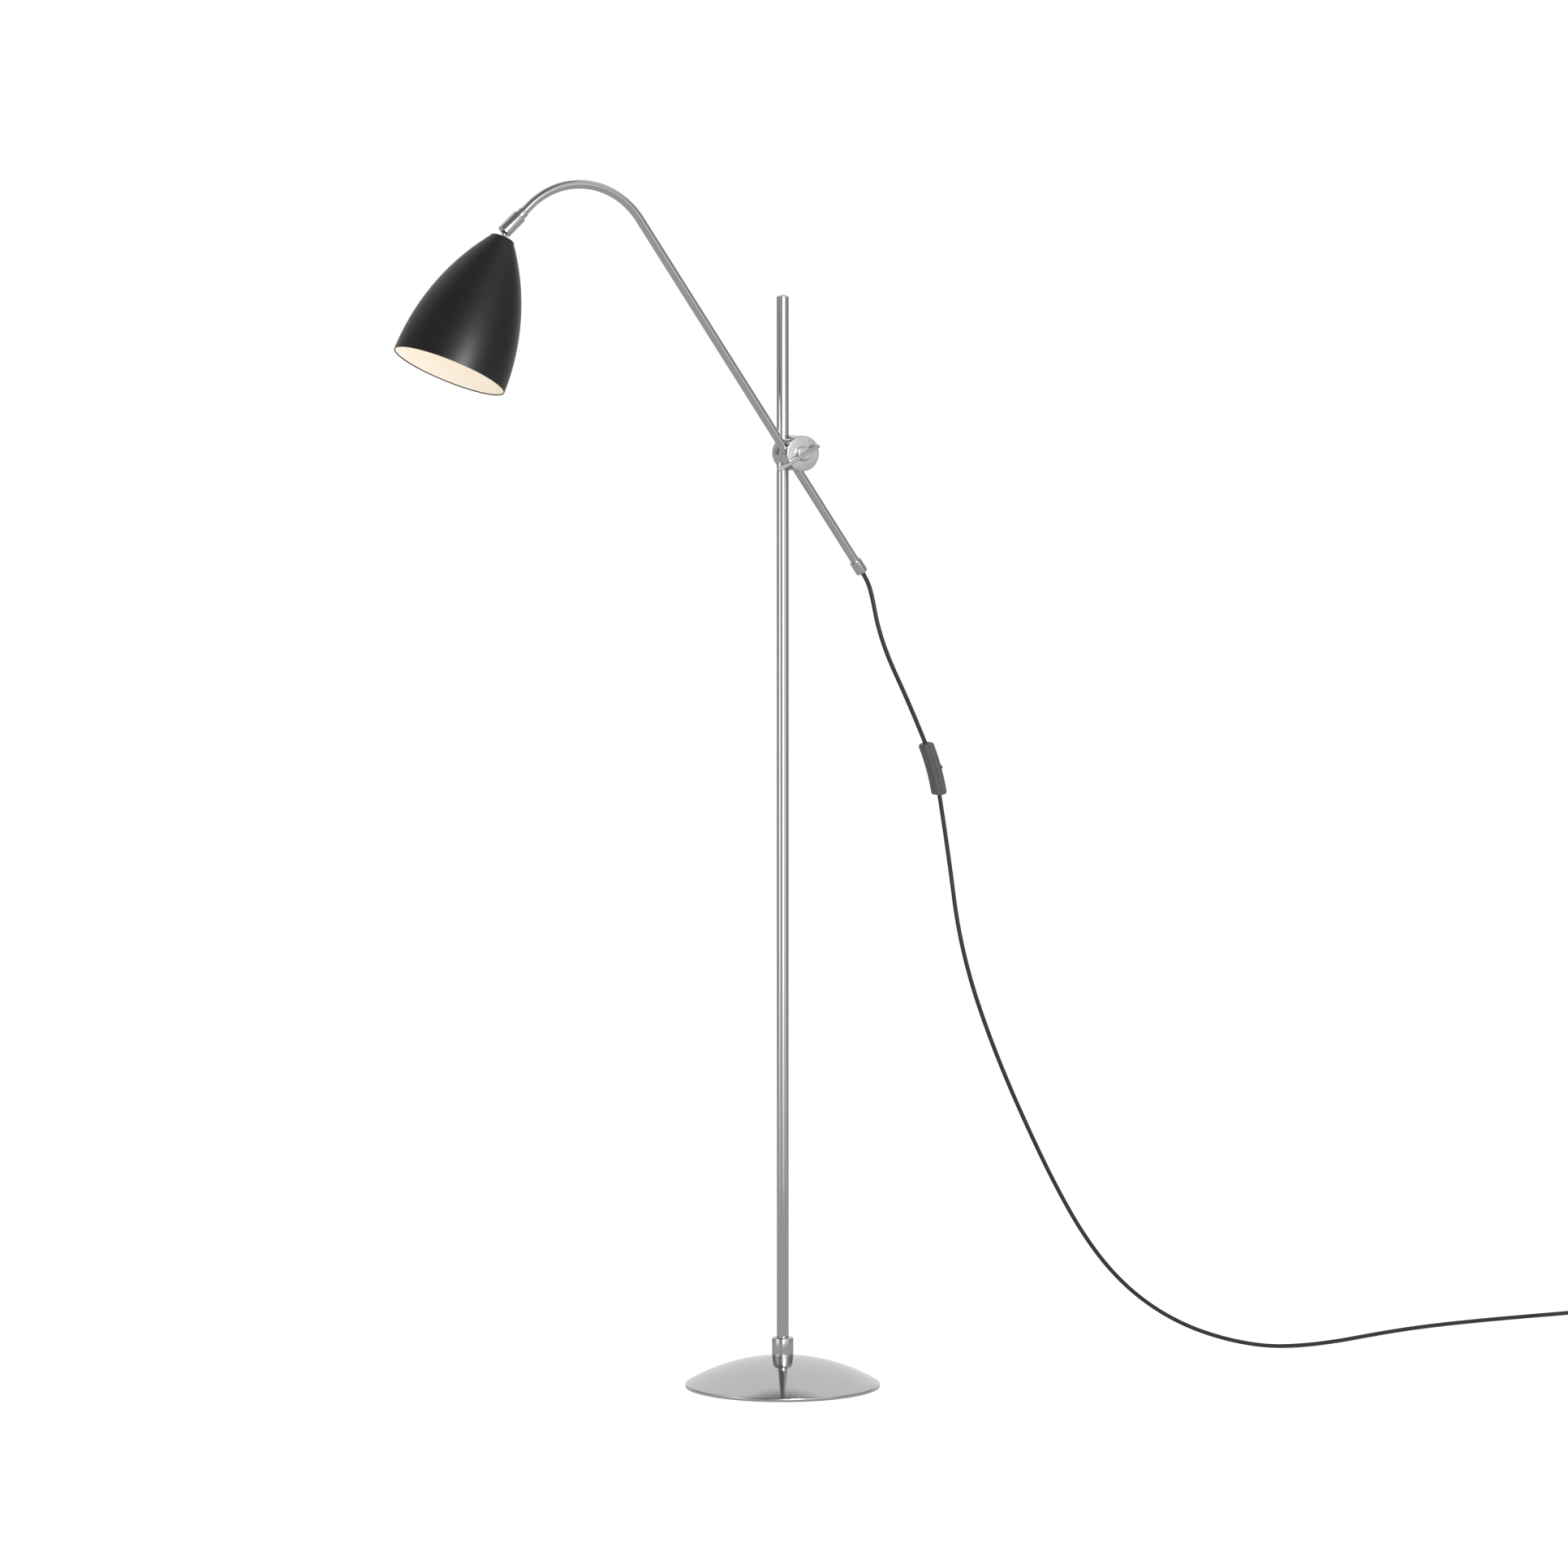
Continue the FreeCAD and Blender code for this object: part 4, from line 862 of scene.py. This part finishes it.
# %% [markdown]
# ## The in-line switch
# The switch is a long box that curves with the cord. It is two mouldings that meet in a seam round the
# middle, so each half is drawn straight, its edges are rounded, and then it is bent to the curve.

# %% Two curved halves and the rocker
SWITCH_AT = Vector((184.6, -20.0, 711.5)) * MM
SWITCH_LEAN, SWITCH_BEND, SWITCH_L = math.radians(17.0), math.radians(14.0), 63.0
SWITCH_T, SWITCH_W = 12.5, 17.0
SWITCH_ARC = SWITCH_L * MM / SWITCH_BEND


def on_switch(along, out, side):
    """From straight to curved: along the length from its middle, out from the middle line, to the side."""
    angle = SWITCH_LEAN + along / SWITCH_ARC
    reach = SWITCH_ARC + out
    centre = SWITCH_AT - Vector((math.cos(SWITCH_LEAN), 0, math.sin(SWITCH_LEAN))) * SWITCH_ARC
    return centre + Vector((reach * math.cos(angle), side, reach * math.sin(angle)))


def switch_half(name, outer, node):
    length, wide, thick = SWITCH_L / 2 * MM, SWITCH_W / 2 * MM, SWITCH_T / 2 * MM
    near, far = (0.0, thick) if outer else (-thick, 0.0)
    face = far if outer else near

    def work_it(work):
        slab(work, (-length, near, -wide), (length, far, wide), Matrix())
        work.normal_update()

        def edges(rule):
            return [e for e in work.edges if rule((e.verts[0].co + e.verts[1].co) / 2, e)]
        corners = edges(lambda m, e: abs(abs(m.x) - length) < 1e-6 and abs(abs(m.y - face)) < 1e-6)
        bmesh.ops.bevel(work, geom=corners, offset=3.4 * MM, segments=8, profile=0.5, affect="EDGES")
        rims = [e for e in work.edges if len(e.link_faces) == 2 and e.calc_face_angle(0) > 0.9
                and abs((e.verts[0].co.y + e.verts[1].co.y) / 2 - (near if outer else far)) > 1e-6]
        bmesh.ops.bevel(work, geom=rims, offset=1.25 * MM, segments=5, profile=0.5, affect="EDGES")
        seam = [e for e in work.edges if len(e.link_faces) == 2 and e.calc_face_angle(0) > 0.9]
        bmesh.ops.bevel(work, geom=seam, offset=0.28 * MM, segments=2, profile=0.5, affect="EDGES")
        for n in range(1, 24):
            where = -length + 2 * length * n / 24
            bmesh.ops.bisect_plane(work, geom=work.verts[:] + work.edges[:] + work.faces[:],
                                   plane_co=(where, 0, 0), plane_no=(1, 0, 0))
        for vert in work.verts:
            vert.co = on_switch(*vert.co)
    piece = new_piece(name, work_it, [SWITCH_GREY], 30.0)
    return fit(piece, "pole_clamp", [node])


def across_bar(radius, half, at, sides=64):
    return bar_cutter(radius, 2 * half, place(at, (0, 1, 0), UP), sides)


ROCKER_AT = joint_point("switch_rock")
front_half = switch_half("switch_half_front", True, "switch_front_shell")
back_half = switch_half("switch_half_back", False, "switch_back_shell")
cut_with(front_half, across_bar(4.3 * MM, 4.3 * MM, ROCKER_AT))


def make_rocker():
    """A drum with a raised wedge on its lower side and fine grip grooves across it."""
    corners = []
    drum, peak = 4.0, 5.1
    for n in range(72):
        a = math.tau * n / 72
        turned = math.degrees(a) - math.degrees(SWITCH_LEAN)
        turned = (turned + 180) % 360 - 180
        rise = max(0.0, 1 - abs(turned + 24) / 30) * (peak - drum)
        groove = 0.22 if abs(turned) < 62 and math.sin(math.radians(turned) * 24) > 0.3 else 0.0
        reach = (drum + rise - groove) * MM
        corners.append((reach * math.cos(a), reach * math.sin(a)))
    where = place(ROCKER_AT, FORWARD, UP)
    rocker = thick_shape("switch_rocker_drum", corners, -4 * MM, 4 * MM, where, [BLACK_PLASTIC])
    eased(rocker, 0.2 * MM, 2, 60)
    return fit(rocker, "rocker", ["switch_rocker"])


make_rocker()
print("switch halves:", len(front_half.data.polygons), len(back_half.data.polygons), "faces")


# %% [markdown]
# ## The cord
# The cord hangs from the arm to the switch and from the switch to the floor, runs off along the floor
# and ends in a tied coil with its plug. One NURBS spline carries each stretch, because a cord has no
# corners. The stretches that cross a moving joint are then skinned in lengths, one for each joint.

# %% Routes and how they are read
CORD_R = 2.5 * MM
COIL_AT, COIL_OUT, COIL_IN = Vector((1174.0, 90.0)), 31.5, 26.5
LAYER_LOW, LAYER_HIGH = 2.9, 7.9


def read_route(name, points, steps=8):
    """Points along one open NURBS spline of order 3 that starts and ends at its end points."""
    curve = bpy.data.curves.new(name, "CURVE")
    curve.dimensions, curve.resolution_u = "3D", steps
    spline = curve.splines.new("NURBS")
    spline.points.add(len(points) - 1)
    for spot, point in zip(spline.points, points):
        spot.co = (*(Vector(point) * MM), 1.0)
    spline.order_u, spline.use_endpoint_u = 3, True
    holder = bpy.data.objects.new(name, curve)
    bpy.context.scene.collection.objects.link(holder)
    line = bpy.data.meshes.new_from_object(holder)
    found = [v.co.copy() for v in line.vertices]
    bpy.data.objects.remove(holder)
    bpy.data.meshes.remove(line)
    return [p for n, p in enumerate(found) if n == 0 or (p - found[n - 1]).length > 1e-7]


def length_of(points):
    return sum((b - a).length for a, b in zip(points, points[1:]))


def split_at(frames, lengths):
    """Part a list of frames at distances along it, sharing the frame at each parting."""
    parts, current, gone = [], [frames[0]], 0.0
    marks = list(lengths)
    for before, frame in zip(frames, frames[1:]):
        gone += (frame[0] - before[0]).length
        current.append(frame)
        if marks and gone >= marks[0]:
            marks.pop(0)
            parts.append(current)
            current = [frame]
    return parts + [current]


def cord_length(name, frames, nodes=()):
    piece = new_piece(name, lambda work: tube_mesh(work, frames, CORD_R, 20), [SHEATH], 60.0)
    if nodes:
        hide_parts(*nodes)
    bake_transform(piece)
    path = [frame[0] for frame in frames]
    round(length_of(path), 3)
    print(name, round(length_of(path), 3), "m")
    return piece


# %% Upper stretch, from the arm to the switch
cord_exit = ARM_PLACE @ Vector((0, 0, -159.8 * MM))
straight_out = ARM_PLACE @ Vector((0, 0, -171.6 * MM))
switch_top = on_switch(SWITCH_L / 2 * MM, 0, 0)
into_switch = switch_top + Vector((-math.sin(math.radians(24)), 0, math.cos(math.radians(24)))) * 27.4 * MM
UPPER = [
    cord_exit / MM, straight_out / MM, (105.0, -20.0, 911.0), (111.5, -20.0, 879.0), (124.5, -20.0, 843.0),
    (146.0, -20.0, 800.5), into_switch / MM, switch_top / MM,
]
upper = rings_along(read_route("upper_route", UPPER))
first, second, third = split_at(upper, (90 * MM, 130 * MM))
cord_length("cord_by_arm", first, ["cord_upper"])
cord_length("cord_by_sleeve", second)
cord_length("cord_to_switch", third)


# %% [markdown]
# ## The cord on the floor
# The lower stretch hangs in one slack curve, meets the floor and wanders away from the lamp. What is
# left of it is coiled in three turns. Real turns never lie in one place, so the coil is worked out as
# rings of two sizes on two levels, and the cord passes smoothly from one to the next.

# %% Lower stretch, from the switch to the floor, along it and into the coil
switch_foot = on_switch(-SWITCH_L / 2 * MM, 0, 0)
out_of_switch = switch_foot + Vector((math.sin(math.radians(10)), 0, -math.cos(math.radians(10)))) * 32.4 * MM
LOWER = [
    switch_foot / MM, out_of_switch / MM, (207.0, -20.0, 590.0), (216.0, -20.0, 527.0),
    (233.0, -20.0, 462.0), (257.5, -20.0, 397.0), (285.0, -20.0, 335.0), (314.5, -20.0, 275.0),
    (345.5, -20.0, 216.5), (380.5, -20.0, 159.0), (420.0, -20.0, 109.5), (466.0, -20.0, 69.5),
    (519.0, -20.0, 38.5), (576.0, -20.0, 17.5), (632.0, -20.0, 5.0), (682.0, -18.5, 2.5),
    (737.0, -8.0, 2.5), (792.0, 13.5, 2.5), (848.0, 33.0, 2.5), (906.0, 46.5, 2.5), (967.0, 53.5, 2.5),
    (1031.0, 57.0, 2.5), (1092.0, 57.5, 2.6), (1140.0, 58.2, 2.8),
]


def smooth_step(low, high, value):
    share = min(1.0, max(0.0, (value - low) / (high - low)))
    return share * share * (3 - 2 * share)


def coil_turns():
    """Turns beside and on each other. The three places where one turn passes to the next follow each
    other round the coil, so no two lengths of cord are in the same place."""
    spots = []
    angle, end, step = -90.0, 1040.0, 15.0
    while angle <= end + 1e-6:
        inward = smooth_step(170, 230, angle) - smooth_step(770, 830, angle)
        upward = smooth_step(470, 530, angle)
        reach = (COIL_OUT - (COIL_OUT - COIL_IN) * inward) * 1.006
        height = LAYER_LOW + (LAYER_HIGH - LAYER_LOW) * upward
        a = math.radians(angle)
        spots.append((COIL_AT.x + reach * math.cos(a), COIL_AT.y + reach * math.sin(a), height))
        angle += step
    return spots


TAIL = [(1209.0, 83.5, 7.6), (1216.0, 99.0, 7.1), (1218.5, 114.0, 6.85)]
lower = rings_along(read_route("lower_route", LOWER + coil_turns() + TAIL))
drop, floor_run = split_at(lower, (203 * MM,))


# %% [markdown]
# ## Plug, strain relief and tie
# The plug is a flat two-pin moulding with a grooved tapered sleeve that keeps the cord from kinking
# where it goes in. The coil is held by one soft strap.

# %% Plug and tie
PLUG_AT = Vector(TAIL[-1]) * MM
PLUG_TURN = math.radians(4.0)
PLUG_ALONG = Vector((math.sin(PLUG_TURN), math.cos(PLUG_TURN), 0))
PLUG_PLACE = place(PLUG_AT, PLUG_ALONG, UP)


def make_plug():
    sleeve = [(2.52, 0), (3.3, 0, 0.4)]
    for step in range(6):
        low = 26.0 * (step + 0.6) / 6
        reach = 3.3 + 1.3 * low / 26.0
        sleeve += [(reach, low, 0.25), (reach - 0.6, low + 0.3, 0.2), (reach - 0.6, low + 1.3, 0.2),
                   (reach, low + 1.6, 0.25)]
    sleeve += [(4.6, 26.0, 0), (2.52, 26.0, 0)]
    relief = lathe("plug_grooved_sleeve", sleeve, PLUG_PLACE, [BLACK_PLASTIC], "stand", ["plug_relief"],
                   64)
    half, neck = 17.65, 7.5
    outline = [(-neck, 26.0), (neck, 26.0), (neck + 2.5, 30.0), (half, 43.6), (half, 58.0), (-half, 58.0),
               (-half, 43.6), (-neck - 2.5, 30.0), (-neck, 26.0)]
    rounded = softened([(x, y, 4.0) for x, y in outline[:-1]] + [(*outline[-1], 0)], 4.0, 6)
    corners = [(v.x * MM, v.y * MM) for v in rounded[:-1]]
    side = PLUG_ALONG.cross(UP)
    flat = Matrix((side, PLUG_ALONG, UP)).transposed().to_4x4()
    flat.translation = PLUG_AT
    body = thick_shape("plug_moulding", corners, -6.85 * MM, 6.85 * MM, flat, [BLACK_PLASTIC])
    eased(body, 1.8 * MM, 5, 50)
    fit(body, "stand", ["plug_body"])
    return relief, body


def make_tie():
    """A thin strap round the turns."""
    angle = math.radians(-65.0)
    away = Vector((math.cos(angle), math.sin(angle), 0))
    centre = Vector((*COIL_AT, 5.4)) * MM + away * 29.3 * MM
    across = UP.cross(away)
    section = []
    half_w, half_h = 5.65, 5.35
    for n in range(48):
        a = math.tau * n / 48
        spot = Vector((math.cos(a), math.sin(a)))
        square = max(abs(spot.x), abs(spot.y))
        ease = 0.72 + 0.28 * square
        section.append((spot.x / square * half_w * ease, spot.y / square * half_h * ease))

    def work_it(work):
        loops = []
        for shrink, side in ((0.0, -2.0), (0.0, 2.0), (0.45, 2.0), (0.45, -2.0)):
            loop = []
            for x, y in section:
                spot = Vector((x * (1 - shrink / half_w), y * (1 - shrink / half_h)))
                loop.append(work.verts.new(centre + away * spot.x * MM + UP * spot.y * MM + across * side * MM))
            loops.append(loop)
        for low, high in zip(loops, loops[1:] + loops[:1]):
            for n in range(48):
                m = (n + 1) % 48
                work.faces.new((low[n], low[m], high[m], high[n]))
    tie = new_piece("coil_strap", work_it, [BLACK_PLASTIC], 40.0)
    return fit(tie, "stand", ["coil_tie"])


relief, plug = make_plug()
make_tie()
cord_length("cord_from_switch", drop)
cord_length("cord_to_plug", floor_run,
            ["cord_lower", "cord_coil", "cord_tail"])


# %% [markdown]
# ## Pieces kept from the frame
# Everything that the turned and bent pieces do not stand for keeps its own shape and takes a finish by
# its material slot.

# %% Finishes for kept nodes
SLOT_FINISH = {
    "chrome": CHROME_WORN, "black_paint": PAINT, "cast_iron": IRON, "rubber": RUBBER, "zinc_steel": ZINC,
    "spring_steel": SPRING, "black_steel": BLACK_STEEL, "fibre": FIBRE, "nylon": NYLON,
    "black_plastic": BLACK_PLASTIC, "switch_plastic": SWITCH_GREY, "cord_pvc": SHEATH, "brass": BRASS,
    "frosted_glass": OPAL,
}
for part in frame["record"]["subparts"]:
    node = frame["nodes"][part["node"]]
    if not node.hide_render:
        node.data.materials.clear()
        node.data.materials.append(SLOT_FINISH[part["material_slot"]])
        print("kept:", part["node"])
frame["nodes"]["plug_pins"].data.materials[0] = NICKEL


# %% [markdown]
# ## Floor and light
# The lamp stands on a pale floor in a pale room. What makes chrome look like chrome is what it
# reflects: a bright screen to the left, a broad one to the right and darker gaps between. They are
# painted on the world by direction, while the camera sees a plain pale ground.

# %% Studio
CAMERA_AZIMUTH = math.radians(-26.0)
BACK = Vector((math.sin(CAMERA_AZIMUTH), -math.cos(CAMERA_AZIMUTH), 0))
RIGHT = Vector((math.cos(CAMERA_AZIMUTH), math.sin(CAMERA_AZIMUTH), 0))


FLOOR = 30.0


def make_floor():
    floor = new_piece("floor", lambda work: work.faces.new([
        work.verts.new((x * FLOOR, y * FLOOR, 0)) for x, y in ((-1, -1), (1, -1), (1, 1), (-1, 1))]), [])
    finish = Finish("pale_floor", Roughness=0.9, IOR=1.3, Specular_IOR_Level=0.1, Emission_Strength=0.48,
                    Emission_Color=(1.0, 1.0, 1.0))
    grain = finish.noise(0.02, 2.0)
    finish.set(Base_Color=finish.mix(grain, (0.93, 0.93, 0.93), (0.95, 0.95, 0.95)))
    floor.data.materials.append(finish.material)
    floor.visible_glossy = False
    return floor


make_floor()


# %% [markdown]
# ## Light by direction
# A ramp holds the light's level for each direction round the lamp, in degrees from the camera's side,
# and negative to the left. One ramp serves level directions, one those a little above, and one the
# ceiling. Further ramps by height pass from one to the next. A ramp cannot hold more than 1, so every
# level is divided by the brightest and multiplied again at the end.

# %% Levels of light
BRIGHTEST = 4.0
BELOW, ZENITH = 0.52, 0.2
BEHIND_LEFT = ((-180, 0.85), (-150, 0.85), (-120, 0.18), (-94, 0.36))
BEHIND_RIGHT = ((77, 0.35), (98, 0.37), (127, 0.24), (150, 0.85), (180, 0.85))
LEVEL_ROUND = (*BEHIND_LEFT, (-73, 0.95), (-55, 2.1), (-38, 0.7), (-22, 0.2), (-5, 0.7), (5, 3.0), (14, 3.0),
               (23, 1.15), (58, 0.96), *BEHIND_RIGHT)
WINDOW_ROUND = (*BEHIND_LEFT, (-60, 0.9), (-30, 0.3), (-5, 0.7), (4, 2.4), (30, 2.4), (43, 0.96), *BEHIND_RIGHT)
CEILING_ROUND = ((-180, 0.85), (-125, 0.85), (-90, 0.25), (20, 0.22), (50, 0.7), (100, 0.7), (130, 0.85),
                 (180, 0.85))


class Sky(Nodes):
    """The world's light, as levels by direction."""

    def __init__(self, name):
        world = bpy.data.worlds.new(name)
        bpy.context.scene.world = world
        world.use_nodes = True
        self.tree = world.node_tree
        self.tree.nodes.clear()
        direction = self.node("TexCoord", output="Generated")
        x, y, z = (self.node("SeparateXYZ", None, {0: direction}, output=n) for n in range(3))
        ahead = x * BACK.x + y * BACK.y
        aside = x * RIGHT.x + y * RIGHT.y
        self.around = aside.maths("ARCTAN2", ahead) * (0.5 / math.pi) + 0.5
        self.height = z.maths("ARCSINE", 0.0) * (1 / math.pi) + 0.5

    def levels(self, share, circle, stops):
        return self.node("ValToRGB", {"stops": [
            (angle / circle + 0.5, (level / BRIGHTEST,) * 3) for angle, level in stops]}, {0: share})

    def rise(self, low, high):
        """0 below one height and 1 above another, both in degrees."""
        return self.levels(self.height, 180, ((-90, 0), (low, 0), (high, BRIGHTEST), (90, BRIGHTEST)))

    def even(self, level):
        return (level / BRIGHTEST,) * 3


def make_world():
    sky = Sky("studio")
    level, window, ceiling = (sky.levels(sky.around, 360, stops)
                              for stops in (LEVEL_ROUND, WINDOW_ROUND, CEILING_ROUND))
    level = sky.mix(sky.rise(-8, -5.5), sky.even(BELOW), level)
    side = sky.mix(sky.rise(0.5, 4), level, window)
    whole = sky.mix(sky.rise(24, 36), side, ceiling)
    whole = sky.mix(sky.rise(60, 72), whole, sky.even(ZENITH))
    lit = sky.node("Background", None, {0: whole, 1: BRIGHTEST})
    plain = sky.node("Background", None, {0: (1, 1, 1), 1: 1.0})
    by_ray = sky.node("LightPath", output="Is Camera Ray")
    sky.node("OutputWorld", None, {0: sky.node("MixShader", None, {0: by_ray, 1: lit, 2: plain})}, output=None)
    print("world:", len(sky.tree.nodes), "nodes")


make_world()


# %% [markdown]
# ## Lights
# One large soft light overhead lights every rough surface. A smaller one in front shows only in what
# mirrors it, and gives the satin paint its long soft highlight.

# %% Two soft lights
MIDDLE = 0.7


def soft_light(name, azimuth, elevation, distance, size, power, mirrored):
    """A square area light that looks at the lamp's middle, placed by angles from the camera's side."""
    light = bpy.data.lights.new(name, "AREA")
    light.shape, light.size, light.energy = "SQUARE", size, power
    holder = bpy.data.objects.new(name, light)
    a, e = CAMERA_AZIMUTH + math.radians(azimuth), math.radians(elevation)
    away = Vector((math.sin(a) * math.cos(e), -math.cos(a) * math.cos(e), math.sin(e)))
    holder.location = UP * MIDDLE + away * distance
    holder.rotation_mode = "QUATERNION"
    holder.rotation_quaternion = (-away).to_track_quat("-Z", "Y")
    holder.visible_glossy, holder.visible_diffuse = mirrored, not mirrored
    bpy.context.scene.collection.objects.link(holder)
    return holder


soft_light("soft_top", 20, 62, 3.2, 2.4, 60, False)
soft_light("front_window", 18, 15, 3.2, 0.8, 90, True)
bpy.context.scene.view_settings.view_transform = "Standard"


# %% [markdown]
# ## Camera
# A long lens from eight metres, a little above the lamp's middle, so that upright lines stay upright.

# %% Camera
ASIDE, AWAY, EYE = 0.0015, 8.0, 1.326
PITCH = math.radians(4.487)
SENSOR, FOCAL = 36.0, 160.5


def make_camera():
    lens = bpy.data.cameras.new("camera")
    holder = bpy.data.objects.new("camera", lens)
    bpy.context.scene.collection.objects.link(holder)
    bpy.context.scene.camera = holder
    lens.sensor_width, lens.lens = SENSOR, FOCAL
    lens.clip_start, lens.clip_end = 0.1, 100.0
    holder.location = RIGHT * ASIDE + BACK * AWAY + UP * EYE
    look = -BACK * math.cos(PITCH) - UP * math.sin(PITCH)
    holder.rotation_mode = "QUATERNION"
    holder.rotation_quaternion = look.to_track_quat("-Z", "Y")
    return holder


make_camera()
